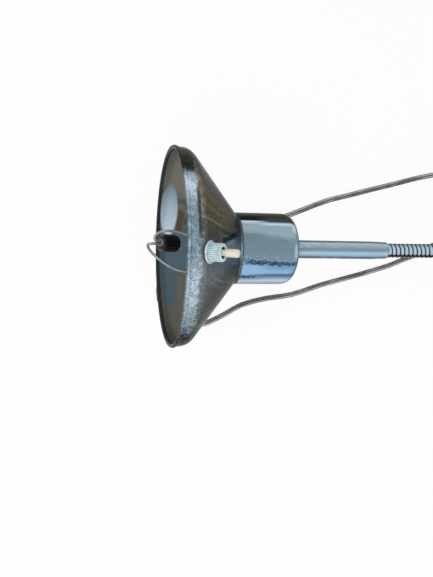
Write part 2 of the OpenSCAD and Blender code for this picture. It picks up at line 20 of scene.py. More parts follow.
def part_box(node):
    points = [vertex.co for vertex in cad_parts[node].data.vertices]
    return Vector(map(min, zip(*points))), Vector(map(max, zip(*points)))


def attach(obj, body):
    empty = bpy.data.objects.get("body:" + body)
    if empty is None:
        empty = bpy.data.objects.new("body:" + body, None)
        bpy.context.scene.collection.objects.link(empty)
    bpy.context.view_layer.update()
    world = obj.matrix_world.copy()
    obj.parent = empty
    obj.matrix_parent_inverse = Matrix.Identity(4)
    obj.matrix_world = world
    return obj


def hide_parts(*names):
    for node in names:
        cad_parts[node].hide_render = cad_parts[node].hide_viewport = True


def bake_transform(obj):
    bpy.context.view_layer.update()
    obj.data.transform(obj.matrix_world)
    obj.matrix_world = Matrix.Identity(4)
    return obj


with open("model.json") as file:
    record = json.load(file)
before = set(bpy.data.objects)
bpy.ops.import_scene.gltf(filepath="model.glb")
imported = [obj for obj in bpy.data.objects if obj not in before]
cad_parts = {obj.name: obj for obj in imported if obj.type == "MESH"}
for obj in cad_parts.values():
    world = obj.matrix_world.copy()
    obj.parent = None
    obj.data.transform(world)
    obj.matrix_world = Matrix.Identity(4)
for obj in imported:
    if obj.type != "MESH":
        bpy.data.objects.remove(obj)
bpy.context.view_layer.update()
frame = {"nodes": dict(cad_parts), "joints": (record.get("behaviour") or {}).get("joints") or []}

# %% [markdown]
# ## Where things are
#
# A few lines and planes place everything else: the head's axis, the plane of the
# shade's mouth and the middle of the neck. They are read from the solids, so that
# the dressing follows the model when a size in it changes.

# %% Lines and planes of the lamp
MM = 0.001


def low(node, axis):
    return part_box(node)[0][axis]


def high(node, axis):
    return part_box(node)[1][axis]


AXIS_Z = (low("cup", 2) + high("cup", 2)) / 2  # height of the head's axis
MOUTH_X = low("shade", 0) + 0.2 * MM  # plane of the shade's mouth
CUP_BACK_X = low("neck_sleeve", 0)  # where the sleeve meets the cup
SLEEVE_END_X = high("neck_sleeve", 0)
STEM_TOP = high("stem", 2)
print("mouth at", round(MOUTH_X, 4), "axis at", round(AXIS_Z, 4), "stem top", round(STEM_TOP, 4))

# %% [markdown]
# ## The camera
#
# The lamp is seen from above, a little from the side of the shade's mouth, so
# that the head lies across the picture. A camera is placed by the point it looks
# at, the direction back from that point and its distance.

# %% Camera
AIM = Vector((MOUTH_X + 35.4 * MM, -30.05 * MM, AXIS_Z))
BACK = Vector((-0.228, 0, 0.974)).normalized()
RIGHT = Vector((BACK.z, 0, -BACK.x))
CAMERA_DISTANCE = 0.475
MM_PER_PIXEL = 0.742
PICTURE_HEIGHT = 577  # pixels
SENSOR_MM = 36

eye = bpy.data.objects.new("camera", bpy.data.cameras.new("camera"))
bpy.context.collection.objects.link(eye)
bpy.context.scene.camera = eye
eye.location = AIM + BACK * CAMERA_DISTANCE
eye.rotation_mode = "QUATERNION"
eye.rotation_quaternion = Matrix((RIGHT, BACK.cross(RIGHT), BACK)).transposed().to_quaternion()
# The long side of the picture spans this many metres at the point looked at
long_side = PICTURE_HEIGHT * MM_PER_PIXEL * MM
eye.data.sensor_width = SENSOR_MM
eye.data.lens = SENSOR_MM * CAMERA_DISTANCE / long_side
eye.data.clip_start = 0.01
print("lens", round(eye.data.lens, 2), "mm at", [round(c, 4) for c in eye.location])

# %% [markdown]
# ## Shader sums in Python
#
# Finishes are node networks, and node networks are sums. A small class wraps a
# node's output, so that a sum can be written as one: `1 - mask * 0.4` adds its
# Math nodes by itself. `Nodes` adds any other node to a tree, and `Finish` is the
# tree of one material, with the few steps that every finish is made of.


# %% Sockets that can be used in sums
class Sock:
    """A node's output that can be used in a Python sum."""

    def __init__(self, nodes, out):
        self.nodes, self.out = nodes, out

    def __add__(self, other):
        return self.nodes.sum("ADD", self, other)

    def __sub__(self, other):
        return self.nodes.sum("SUBTRACT", self, other)

    def __rsub__(self, other):
        return self.nodes.sum("SUBTRACT", other, self)

    def __mul__(self, other):
        return self.nodes.sum("MULTIPLY", self, other)

    def __truediv__(self, other):
        return self.nodes.sum("DIVIDE", self, other)

    def __pow__(self, other):
        return self.nodes.sum("POWER", self, other)

    __radd__, __rmul__ = __add__, __mul__

    def rise(self, start, end):
        """0 up to start, 1 from end on, and a smooth step between them."""
        limits = {"Value": self, "From Min": start, "From Max": end}
        settings = {"interpolation_type": "SMOOTHSTEP"}
        return self.nodes.node("ShaderNodeMapRange", settings, "Result", **limits)

    def fall(self, start, end):
        """1 up to start and 0 from end on."""
        return 1 - self.rise(start, end)

    def within(self, start, end, soft):
        """1 between start and end, and 0 outside, with soft edges."""
        return self.rise(start - soft, start + soft) * self.fall(end - soft, end + soft)


# %% Nodes and finishes
def linear(red, green, blue):
    """A colour as a paint chart gives it, from 0 to 255, as light."""
    light = [((c / 255 + 0.055) / 1.055) ** 2.4 if c > 10 else c / 3295 for c in (red, green, blue)]
    return (*light, 1.0)


class Nodes:
    """A node tree, and one way to add any node to it."""

    def __init__(self, tree):
        self.tree = tree

    def node(self, kind, settings, out=0, **inputs):
        """Adds a node: its settings, then its sockets by name, or as _0, _1 and so on by number."""
        made = self.tree.nodes.new(kind)
        for name, value in settings.items():
            if name == "stops":
                ends = made.color_ramp.elements
                ends[0].color, ends[1].color = value[0][1], value[-1][1]
                for spot, colour in value[1:-1]:
                    ends.new(spot).color = colour
            else:
                setattr(made, name, value)
        for name, value in inputs.items():
            self.plug(made.inputs[int(name[1:]) if name[0] == "_" else name], value)
        return Sock(self, made.outputs[out])

    def plug(self, socket, value):
        if isinstance(value, Sock):
            self.tree.links.new(value.out, socket)
        else:
            socket.default_value = value

    def sum(self, operation, a, b=0.0):
        return self.node("ShaderNodeMath", {"operation": operation}, _0=a, _1=b)

    def size(self, value):
        """The value without its sign."""
        return self.sum("ABSOLUTE", value)


class Finish(Nodes):
    """One material: a Principled shader and the nodes that feed it."""

    def __init__(self, name, **constants):
        self.material = bpy.data.materials.new(name)
        self.material.use_nodes = True
        super().__init__(self.material.node_tree)
        self.shader = self.tree.nodes["Principled BSDF"]
        self.give(**constants)

    def give(self, **values):
        """Sets or feeds the shader's sockets, and hands over the material."""
        for socket, value in values.items():
            self.plug(self.shader.inputs[socket.replace("_", " ")], value)
        return self.material

    def mix(self, mask, a, b):
        """Colour a where the mask is 0 and colour b where it is 1."""
        return self.node("ShaderNodeMix", {"data_type": "RGBA"}, 2, _0=mask, _6=a, _7=b)

    def coats(self, colour, *coats):
        """Paints over a colour, coat by coat; each coat is a mask and a paint colour."""
        for mask, paint in coats:
            colour = self.mix(mask, colour, linear(*paint))
        return colour

    def place(self, kind="Object"):
        """The position on the lamp in metres, or, with "Normal", the way the surface faces."""
        return self.node("ShaderNodeTexCoord", {}, kind)

    def axes(self, vector):
        """A vector's X, Y and Z."""
        apart = self.node("ShaderNodeSeparateXYZ", {}, Vector=vector).out.node
        return [Sock(self, out) for out in apart.outputs]

    def stretched(self, vector, along):
        """The position multiplied along each axis, to stretch a pattern."""
        return self.node("ShaderNodeVectorMath", {"operation": "MULTIPLY"}, _0=vector, _1=along)

    def noise(self, vector, size, detail=3.0, roughness=0.55):
        """Cloudy values around 0.5, in spots of about this size in millimetres."""
        looks = {"Scale": 1 / (size * MM), "Detail": detail, "Roughness": roughness}
        return self.node("ShaderNodeTexNoise", {}, Vector=vector, **looks)

    def ramp(self, value, *stops):
        """Colours along a value; each stop is a value and a paint colour."""
        first, last = stops[0][0], stops[-1][0]
        spots = [((spot - first) / (last - first), linear(*colour)) for spot, colour in stops]
        return self.node("ShaderNodeValToRGB", {"stops": spots}, Fac=(value - first) / (last - first))

    def bump(self, height, depth):
        """A surface normal from a height between 0 and 1 and a depth in millimetres."""
        return self.node("ShaderNodeBump", {}, Height=height, Strength=1.0, Distance=depth * MM)


# %% Handing finishes and pieces over
def paint(material, *nodes):
    """Gives solids whose shape stays a better finish."""
    for node in nodes:
        frame["nodes"][node].material_slots[0].material = material


def declare(piece, body, slot, *nodes):
    """Says what a piece moves with and hides the solids it stands for; the slot is not used."""
    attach(piece, body)
    if nodes:
        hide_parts(*nodes)


# %% [markdown]
# ## Tubes that follow a line
#
# Cords, leads and the neck's wire are all one shape: a small section carried
# along a line. The section has to stay square to the line without twisting, so
# its sideways direction is handed on from ring to ring.


# %% A smooth line, rings and a sweep
def smooth_line(points, step):
    """A curve through the points, cut into pieces of about this length."""
    points = [Vector(p) for p in points]
    line = []
    for i in range(len(points) - 1):
        a, b, c, d = points[max(i - 1, 0)], points[i], points[i + 1], points[min(i + 2, len(points) - 1)]
        count = max(2, round((c - b).length / step))
        for k in range(count):
            t = k / count
            bend = (c - a) * t + (2 * a - 5 * b + 4 * c - d) * t * t + (3 * b - a - 3 * c + d) * t**3
            line.append(b + 0.5 * bend)
    return line + [points[-1]]


def circle(sides):
    """Cosine and sine of angles evenly spaced round a circle."""
    return [(math.cos(2 * math.pi * k / sides), math.sin(2 * math.pi * k / sides)) for k in range(sides)]


def ring_faces(rings, sides, first=0, closed=False):
    """Faces that join rings of vertices. The ends get a face each, unless the last ring joins the first."""
    faces = []
    for i in range(rings if closed else rings - 1):
        near, far = first + i * sides, first + (i + 1) % rings * sides
        faces += [(near + k, near + (k + 1) % sides, far + (k + 1) % sides, far + k) for k in range(sides)]
    if not closed:
        end = first + (rings - 1) * sides
        faces += [tuple(range(first + sides - 1, first - 1, -1)), tuple(range(end, end + sides))]
    return faces


def add_mesh(name, vertices, faces, material, sharp=40):
    mesh = bpy.data.meshes.new(name)
    mesh.from_pydata(vertices, [], faces)
    mesh.update()
    mesh.polygons.foreach_set("use_smooth", [True] * len(mesh.polygons))
    mesh.set_sharp_from_angle(angle=math.radians(sharp))
    mesh.materials.append(material)
    piece = bpy.data.objects.new(name, mesh)
    bpy.context.collection.objects.link(piece)
    return piece


def tube_piece(name, line, section, side, material):
    """A section carried along a line, closed at both ends. Without a side it lies flat."""
    vertices = []
    across = Vector(side or (0, 0, 0))
    for i, point in enumerate(line):
        way = (line[min(i + 1, len(line) - 1)] - line[max(i - 1, 0)]).normalized()
        if not side:
            across = Vector((-way.y, way.x, 0))
        across = (across - way * across.dot(way)).normalized()
        up = way.cross(across)
        vertices += [point + across * u + up * v for u, v in section]
    return add_mesh(name, vertices, ring_faces(len(line), len(section)), material, 60)


def round_section(radius):
    return [(radius * c * MM, radius * s * MM) for c, s in circle(12)]


def keep_values(piece, name, values):
    """Stores one number per vertex, for a finish to read."""
    piece.data.attributes.new(name, "FLOAT", "POINT").data.foreach_set("value", values)


# %% [markdown]
# ## The cord
#
# A flat twin cord: two cores side by side in one clear grey sheath, 5.2 mm wide.
# Its 1.8 m run from the base along the desk, past the head and back, and what is
# left is wound into a flat coil beside the base, just out of view. A cord is a
# fixed length, so the coil is wound with what the route leaves over.

# %% Cord route
CORD_W, CORD_T, CORD_LENGTH = 5.2 * MM, 3.2 * MM, 1.8
EXIT_TURN = math.radians(170)
OUT = Vector((math.cos(EXIT_TURN), math.sin(EXIT_TURN), 0))
CORD_EXIT = OUT * 98 * MM + Vector((0, 0, 7 * MM))
LIE = CORD_T / 2 + 0.1 * MM
DESK_ROUTE = [(-128, 7), (-145, 1), (-163, -6), (-189, -13.5), (-216, -20.5), (-241, -27), (-270, -36)]
DESK_ROUTE += [(-298, -40), (-322, -46), (-337, -54), (-356, -63), (-372, -66), (-386, -63), (-397, -54)]
DESK_ROUTE += [(-403, -40), (-403, -24), (-397, -8), (-386, 6), (-371, 17), (-351, 24), (-326, 28)]
DESK_ROUTE += [(-299, 34), (-267, 45.5), (-235, 58), (-209, 65), (-183, 72), (-156, 79), (-130, 86)]
DESK_ROUTE += [(-106, 91), (-83, 95)]
COIL_AT = Vector((-68, 133, 0)) * MM
COIL_OUT_R = 35.2 * MM  # middle of the cord in the outermost turn
COIL_LIE = 2.5 * MM  # height of the lower layer's middle, above the tie
LEAD_OUT = [(-31, 125), (-27, 138), (-26, 149.8)]
TURN_IN, TURN_OUT = math.radians(-77), math.radians(-29)  # where the cord enters and leaves the coil
WHOLE_TURNS = 6
COIL_POINTS = 150


def on_desk(points):
    return [Vector((x * MM, y * MM, LIE)) for x, y in points]


def length_of(line):
    return sum((b - a).length for a, b in zip(line, line[1:]))


def eased(x):
    x = min(max(x, 0), 1)
    return x * x * (3 - 2 * x)


def coil_point(turned, total, step):
    """A spiral inwards on the desk, then a spiral outwards on top of it."""
    half = total / 2
    radius = COIL_OUT_R - step * (half - abs(turned - half)) / (2 * math.pi)
    down = 1 - eased((turned - total + 0.9) / 0.8)  # the last turn comes down to the desk
    top = eased((turned - half + 0.35) / 0.7) * down
    height = LIE + (COIL_LIE - LIE) * eased(turned / 2) * down
    angle = TURN_IN + turned
    rim = Vector((math.cos(angle), math.sin(angle), 0)) * radius
    return COIL_AT + rim + Vector((0, 0, height + top * (CORD_T + 0.1 * MM)))


def cord_line(step):
    total = 2 * math.pi * WHOLE_TURNS + TURN_OUT - TURN_IN
    coil = [coil_point(total * k / COIL_POINTS, total, step) for k in range(COIL_POINTS + 1)]
    start = [CORD_EXIT, CORD_EXIT + OUT * 8 * MM, Vector((-115, 15, 3.6)) * MM]
    route = smooth_line(start + on_desk(DESK_ROUTE) + coil[:2], 10 * MM)[:-2]
    for point in route:
        point.z = max(point.z, LIE)
    lead = smooth_line(coil[-2:] + on_desk(LEAD_OUT), 6 * MM)[2:]
    return route + coil[1:-1] + lead


# The spacing of the turns is what makes the whole cord come out at its length
tight, wide = 4.9 * MM, 5.9 * MM
for _ in range(30):
    step = (tight + wide) / 2
    tight, wide = (step, wide) if length_of(cord_line(step)) > CORD_LENGTH else (tight, step)
CORD_PATH = cord_line(step)
turns_apart = round(step / MM, 2)
print("cord", round(length_of(CORD_PATH), 4), "m, turns", turns_apart, "mm apart,", len(CORD_PATH), "points")

# %% [markdown]
# ## Flex
#
# The cord and the thin leads in the head have the same sheath: clear PVC that has
# gone grey and a little brown. What shows is the dull metal of the strands under
# a smooth skin, so the colour clouds slowly along the cord and the skin is glossy.
# The side facing up is painted lighter as a painted highlight, and the sides and
# underside stay darker as painted shade.


# %% Finish of the flex
def flex_finish(name, dark, light):
    f = Finish(name, Roughness=0.32, Coat_Weight=0.25)
    where = f.place()
    clouds = f.noise(where, 14).rise(0.35, 0.65)
    strands = f.noise(where, 1.1, 2).rise(0.4, 0.7)
    face_z = f.axes(f.place("Normal"))[2]
    # Painted highlight on the upward-facing side, with random clouds and strands in it; the sides and
    # underside keep the darker colour as painted shade.
    lit_top_with_strands = (clouds * 0.3 + strands * 0.2 + 0.5) * face_z.rise(0.45, 0.95)
    colour = f.mix(lit_top_with_strands, linear(*dark), linear(*light))
    return f.give(Base_Color=colour, Normal=f.bump(f.noise(where, 2.5), 0.05))


CLEAR_FLEX = flex_finish("clear_flex", (84, 83, 76), (182, 184, 178))
FEED_FLEX = flex_finish("feed_flex", (108, 108, 100), (190, 192, 186))


def twin_finish():
    """Painted highlights on the two cores, with painted shade in the valley between them and at the edges;
    which core is lit drifts along the cord.
    """
    f = Finish("twin_flex", Roughness=0.3, Coat_Weight=0.3)
    where = f.place()
    across = f.node("ShaderNodeAttribute", {"attribute_name": "across"}, "Fac")
    drift = (f.noise(where, 26) - 0.5) * 5
    # Painted highlight on the crown of each core, painted shade in the valley and at the edges, and the side
    # that is not lit painted darker.
    core_crown_highlight = f.size(across).within(0.22, 0.74, 0.14)
    lit = (across + drift).rise(-0.9, 0.9)
    fine = f.noise(where, 1.6).rise(0.35, 0.65)
    colour = f.mix(core_crown_highlight * (lit * 0.75 + fine * 0.25), linear(50, 50, 45), linear(186, 190, 184))
    return f.give(Base_Color=colour, Normal=f.bump(f.noise(where, 2.5), 0.05))


TWIN_FLEX = twin_finish()
print("three finishes for flex")

# %% [markdown]
# The twin cord's section is two circles that overlap a little, with a shallow
# valley on each side where the cores can be torn apart.


# %% The twin cord
def twin_section(width, thick, steps=9):
    """Outline of two round cores side by side in one sheath."""
    radius = thick / 2
    middle = width / 2 - radius
    reach = math.acos(-middle / radius)
    right = [-reach + 2 * reach * k / (steps - 1) for k in range(steps)]
    outline = [(middle + radius * math.cos(a), radius * math.sin(a)) for a in right]
    return outline + [(-u, -v) for u, v in outline]


cord_section = twin_section(CORD_W, CORD_T)
cord_piece = tube_piece("mains_cord", CORD_PATH, cord_section, None, TWIN_FLEX)
keep_values(cord_piece, "across", [u / CORD_W * 2 for u, v in cord_section] * len(CORD_PATH))
declare(cord_piece, "base", "clear_flex", "power_cord", "cord_coil", "plug_lead")
print(cord_piece.name, len(cord_piece.data.vertices), "vertices")

# %% [markdown]
# ## Turned pieces
#
# Most of the lamp is turned or moulded round an axis. `lathe` spins an outline
# round any axis, and can press ribs or a thread into it: the radius is changed by
# a function of the angle and the height, which is how knurling really looks.


# %% A lathe with ribs
def lathe(name, outline, origin, axis, material, sides=48, ribs=None, ring=False):
    """Spins an outline of (radius, height) points; a ring's outline closes on itself."""
    axis = Vector(axis).normalized()
    across = axis.orthogonal().normalized()
    up = axis.cross(across)
    vertices = []
    for radius, height in outline:
        for k, (c, s) in enumerate(circle(sides)):
            r = radius + (ribs(2 * math.pi * k / sides, height, radius) if ribs else 0)
            vertices.append(Vector(origin) + (axis * height + (across * c + up * s) * r) * MM)
    return add_mesh(name, vertices, ring_faces(len(outline), sides, closed=ring), material, 35)


# %% [markdown]
# ## Black mouldings
#
# The plug, the tie, the lamp holder and the cap over the splice are black plastic
# or bakelite. Black plastic is never quite black: it is a warm dark grey with a
# soft shine, finely marked by the mould and paler where hands have rubbed it.


# %% Finish of black mouldings
def moulding_finish(name, deep, worn):
    f = Finish(name)
    where = f.place()
    rubbed = f.noise(where, 6).rise(0.5, 0.72)
    grain = f.noise(where, 0.6, 2)
    return f.give(
        Base_Color=f.mix(rubbed * 0.5, linear(*deep), linear(*worn)),
        Roughness=grain * 0.2 + 0.28,
        Normal=f.bump(grain, 0.04),
    )


BLACK_MOULDING = moulding_finish("black_moulding", (22, 20, 19), (52, 49, 47))
BAKELITE = moulding_finish("bakelite", (24, 18, 16), (58, 44, 38))
paint(BAKELITE, "holder_body", "switch_body")
print("black mouldings finished")

# %% [markdown]
# The strain relief is a tapered sleeve with ribs that let it bend a little at a
# time, so that the cord never kinks at the base's wall. The plug is moulded on:
# its body swells to a grip with four finger ribs and ends in two brass pins.

# %% Strain relief
RELIEF_FOOT = OUT * 74 * MM + Vector((0, 0, 7 * MM))


def relief_ribs(angle, height, radius):
    return 0.45 * math.sin(2 * math.pi * (height - 3) / 3.2) if 4 < height < 22 and radius > 3 else 0


relief_outline = [(4.45, -1.4), (4.45, 0), (6, 0.01), (6, 1.6), (5.6, 2), (4.8, 3)]
relief_outline += [(4.8 - 1.5 * (h - 3) / 21, h) for h in np.arange(3.4, 23.7, 0.4)] + [(2.7, 24)]
relief = lathe("strain_relief", relief_outline, RELIEF_FOOT, OUT, BLACK_MOULDING, 32, relief_ribs)
declare(relief, "base", "black_moulding", "cord_relief")
print(relief.name, len(relief.data.vertices), "vertices")

# %% Plug body
PLUG_AT = Vector((-26, 150, 6.85)) * MM  # middle of the plug's tail end
PLUG_SIDES, PLUG_LONG = 28, 36


def plug_ring(y):
    """Half width and half height of the plug at a distance from its tail."""
    width = 6 + 7 * eased(y / 13)
    height = 5 + 1.7 * eased(y / 10)
    if 14 < y < 27:
        width -= 0.5 + 0.5 * math.cos(2 * math.pi * y / 3.2)
    end = eased((PLUG_LONG - y) / 1.6)
    return width * (0.9 + 0.1 * end), height * (0.85 + 0.15 * end)


def squarish(c, power):
    """A cosine or sine pushed outwards, which makes a rounded square of a circle."""
    return math.copysign(abs(c) ** power, c)


plug_rows = [0, 0.5] + [k * 0.6 for k in range(2, 60)] + [35.7, PLUG_LONG]
plug_vertices = []
for y in plug_rows:
    wide, tall = plug_ring(y)
    for c, s in circle(PLUG_SIDES):
        plug_vertices.append(PLUG_AT + Vector((wide * squarish(c, 0.5), y, tall * squarish(s, 0.5))) * MM)
plug_faces = [face[::-1] for face in ring_faces(len(plug_rows), PLUG_SIDES)]
plug = add_mesh("plug", plug_vertices, plug_faces, BLACK_MOULDING, 50)
declare(plug, "base", "black_moulding", "plug_body")
print(plug.name, len(plug_vertices), "vertices")

# %% [markdown]
# ## Bright metals
#
# Brass pins and screws, and zinc on nuts and washers, are small and mostly
# hidden, but they are metals all the same: the base colour tints what they
# mirror, and fine turning marks spread it.


# %% Finishes of small metal parts
def metal_finish(name, pale, dull, rough, marks):
    f = Finish(name, Metallic=1.0)
    where = f.place()
    tarnish = f.noise(where, 3).rise(0.45, 0.7)
    fine = f.noise(f.stretched(where, marks), 0.8, 2)
    return f.give(
        Base_Color=f.mix(tarnish * 0.6, linear(*pale), linear(*dull)),
        Roughness=fine * 0.15 + rough,
        Normal=f.bump(fine, 0.02),
    )


BRASS = metal_finish("brass", (212, 184, 110), (160, 128, 66), 0.2, (6, 1, 1))
ZINC = metal_finish("zinc_steel", (176, 180, 184), (128, 132, 134), 0.3, (6, 1, 1))
paint(ZINC, "base_nut", "base_washer", "cup_washer", "cup_nut")
paint(BRASS, "neck_ferrule_lower", "neck_ferrule_upper", "cup_nipple", "holder_contact", "holder_screws")
paint(BRASS, "switch_terminals")
print("brass and zinc finished")

# %% Plug pins
pin_line = [(1.6, 0), (1.8, 0.3), (2, 0.6), (2, 18)]
pin_line += [(2 - math.sin(k * 0.4) * 0.7, 18 + k * 0.33) for k in range(1, 4)]
plug_pins = []
for name, side in (("plug_pin_left", -9.3), ("plug_pin_right", 9.3)):
    foot = PLUG_AT + Vector((side, PLUG_LONG, 0)) * MM
    plug_pins.append(lathe(name, pin_line, foot, (0, 1, 0), BRASS, 24))
declare(plug_pins[0], "base", "brass", "plug_pins")
declare(plug_pins[1], "base", "brass")
print(len(plug_pins), "pins made")

# %% [markdown]
# The coil is held by a tie: a soft band that goes once round all its turns. It is
# drawn as a flat strip bent round the bundle, standing a little off the cords.

# %% Cord tie
TIE_TURN, TIE_WIDE, TIE_THICK = math.radians(135), 8 * MM, 0.6 * MM
tie_way = Vector((math.cos(TIE_TURN), math.sin(TIE_TURN), 0))
tie_side = Vector((-tie_way.y, tie_way.x, 0))
tie_middle = COIL_AT + tie_way * 27 * MM + Vector((0, 0, 4.15 * MM))
tie_line = []
for c, s in circle(48) + [(1, 0)]:
    rim = tie_way * 11.6 * squarish(c, 0.4) + Vector((0, 0, 3.9 * squarish(s, 0.4)))
    tie_line.append(tie_middle + rim * MM)
tie_section = [(u * TIE_WIDE / 2, v * TIE_THICK / 2) for u, v in ((-1, -1), (1, -1), (1, 1), (-1, 1))]
tie = tube_piece("cord_tie_band", tie_line, tie_section, tie_side, BLACK_MOULDING)
declare(tie, "base", "black_moulding", "cord_tie")
print("tie and cord declared")

# %% [markdown]
# ## The wound neck
#
# A gooseneck is a spring of round wire with a flat strip wound into its grooves.
# Bent, each turn tips a little against the next. The solid model has a hinge at
# every second link of four turns. In the lower neck, which bends most, each stretch
# of seven turns is one piece over the hinge in its middle, made in its rest shape. In
# the last four stretches, which only nod a little, each half is stiff.

# %% The neck's middle line
TURNS_PER_PIECE = 7
WIRE_R, WIRE_WIDE = 1.05, 1.45  # millimetres: the wire is rolled a little flat
WIND_R, STRIP_R = 4.65, 4.5  # the circle it is wound on, and the strip between turns
NECK_END = Vector((SLEEVE_END_X - 6 * MM, 0, AXIS_Z))
neck_joints = [joint for joint in frame["joints"] if joint["name"].startswith("neck")]
hinges = [Vector(joint["pos_m"]) for joint in neck_joints]
neck_bodies = ["base"] + [joint["child"] for joint in neck_joints]
knots = [Vector((0, 0, STEM_TOP - 6 * MM))] + hinges + [NECK_END]
neck_line = smooth_line(knots, 0.8 * MM)
walked = [0.0]
for a, b in zip(neck_line, neck_line[1:]):
    walked.append(walked[-1] + (b - a).length)
print("neck", round(walked[-1], 4), "m long,", len(hinges), "hinges")


def on_neck(distance):
    """Point on the middle line, and the way it runs there."""
    i = int(np.clip(np.searchsorted(walked, distance) - 1, 0, len(walked) - 2))
    share = (distance - walked[i]) / (walked[i + 1] - walked[i])
    ahead, behind = neck_line[min(i + 2, len(neck_line) - 1)], neck_line[max(i - 1, 0)]
    return neck_line[i].lerp(neck_line[i + 1], share), (ahead - behind).normalized()


# %% [markdown]
# Chrome wire shows one bright land per turn, and the grooves between turns go
# nearly black. Both are painted: bands of painted reflection on the lands, and
# painted shade in the grooves. They are painted from the wire's own section, so they
# stay with the wire when the neck bends: each vertex keeps how far round the neck it
# lies and how far out of the groove it stands.


# %% Finish of the neck
# Painted chrome: the tint and the low level keep a glancing view from washing the paint out
MIRROR = {"Metallic": 0.55, "Specular_IOR_Level": 0.05, "Specular_Tint": (0.1, 0.1, 0.1, 1)}

# What polished chrome mirrors in a room, from a bright window to the gaps between things
GLARE, HAZE, SKY, MIST = (210, 225, 245), (175, 195, 210), (145, 185, 220), (150, 170, 180)
STEEL, DEEP, PEWTER, ASH = (120, 145, 155), (95, 130, 165), (115, 120, 130), (95, 100, 100)
SLATE, SHADOW, WOOD, DUSK = (75, 95, 110), (60, 75, 80), (110, 105, 85), (85, 85, 80)
MOSS, GAP = (70, 70, 55), (30, 35, 40)


def neck_finish():
    f = Finish("neck_wire", Roughness=0.24, **MIRROR)
    around = f.node("ShaderNodeAttribute", {"attribute_name": "around"}, "Fac")
    crest = f.node("ShaderNodeAttribute", {"attribute_name": "crest"}, "Fac")
    where = f.place()
    # Bands of painted reflection round the wire, from the bottom of the neck (-90) to its top (90).
    lands = f.ramp(
        around,
        *[(-90, HAZE), (-72, STEEL), (-62, GAP), (-46, GAP), (-30, HAZE), (24, HAZE), (42, MIST)],
        *[(60, PEWTER), (74, ASH), (90, PEWTER)],
    )
    # Painted shade in the grooves between turns and on the strip.
    groove_shade_colour = linear(*GAP)
    worn = f.noise(where, 2.2).rise(0.55, 0.75) * 0.25
    land = f.mix(worn, lands, linear(224, 230, 232))
    colour = f.mix(crest.rise(0.0, 0.5), groove_shade_colour, land)
    return f.give(Base_Color=colour, Normal=f.bump(f.noise(where, 0.7, 2), 0.02))


NECK_WIRE = neck_finish()
print("neck finish made")

# %% Seven turns at a time
WIRE_SIDES, STEPS_PER_TURN = 10, 26
STRIP_RINGS, STRIP_SIDES = 24, 32
piece_length = walked[-1] / len(hinges)
sideways = Vector((0, 1, 0))


def side_angle(turned):
    """How far from the top or bottom of the neck an angle lies, from -90 to 90 degrees."""
    return math.degrees(math.asin(math.sin(turned)))


def wire_piece(name, start, length):
    """Wire and strip of some stretches, with the paint's two values on each vertex."""
    vertices, around, crest = [], [], []
    first = round(start * TURNS_PER_PIECE * STEPS_PER_TURN)
    count = round(length * TURNS_PER_PIECE * STEPS_PER_TURN)
    pitch = piece_length / TURNS_PER_PIECE
    for k in range(first, first + count + 1):
        turned = 2 * math.pi * k / STEPS_PER_TURN + math.pi / 2
        point, way = on_neck(k / STEPS_PER_TURN * pitch)
        out = sideways.cross(way)
        rim = out * math.cos(turned) + sideways * math.sin(turned)
        tangent = sideways * math.cos(turned) - out * math.sin(turned)
        along = (way * pitch + tangent * 2 * math.pi * WIND_R * MM).normalized()
        beside = along.cross(rim)
        for c, s in circle(WIRE_SIDES):
            vertices.append(point + (rim * (WIND_R + c * WIRE_R) + beside * s * WIRE_WIDE) * MM)
            around.append(side_angle(turned))
            crest.append(c)
    faces = ring_faces(count + 1, WIRE_SIDES) + ring_faces(STRIP_RINGS + 1, STRIP_SIDES, len(vertices))
    # A stiff half's strip stops short, so that it clears the other half when they tip
    inset = 0.45 * MM if length < 1 else 0
    for k in range(STRIP_RINGS + 1):
        at = (start + length * k / STRIP_RINGS) * piece_length
        at = min(max(at, start * piece_length + inset), (start + length) * piece_length - inset)
        point, way = on_neck(at)
        out = sideways.cross(way)
        for k, (c, s) in enumerate(circle(STRIP_SIDES)):
            vertices.append(point + (out * c + sideways * s) * STRIP_R * MM)
            around.append(side_angle(2 * math.pi * k / STRIP_SIDES))
            crest.append(0.0)
    piece = add_mesh(name, vertices, faces, NECK_WIRE, 60)
    keep_values(piece, "around", around)
    keep_values(piece, "crest", crest)
    return piece


BENDING = 8  # stretches made as one piece each; the rest are stiff halves
for index in range(len(hinges)):
    below, above = neck_bodies[index], neck_bodies[index + 1]
    links = f"neck_link_{2 * index + 1:02d}", f"neck_link_{2 * index + 2:02d}"
    name = f"neck_turns_{index + 1:02d}"
    if index < BENDING:
        piece = wire_piece(name, index, 1)
        start, end = [on_neck((index + k) * piece_length)[0] for k in (0, 1)]
        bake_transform(piece)
        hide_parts(*links)
    else:
        for part, body, link in ((0, below, links[0]), (1, above, links[1])):
            piece = wire_piece(f"{name}_{'ab'[part]}", index + part / 2, 0.5)
            declare(piece, body, "chrome", link)
print(len(hinges), "stretches of", TURNS_PER_PIECE, "turns")

# %% [markdown]
# The lead inside the neck never shows except where it comes out into the base and
# the lamp holder. Two short pieces stand for it there, one on each side of the
# neck, so that nothing stiff is left inside when the neck bends.

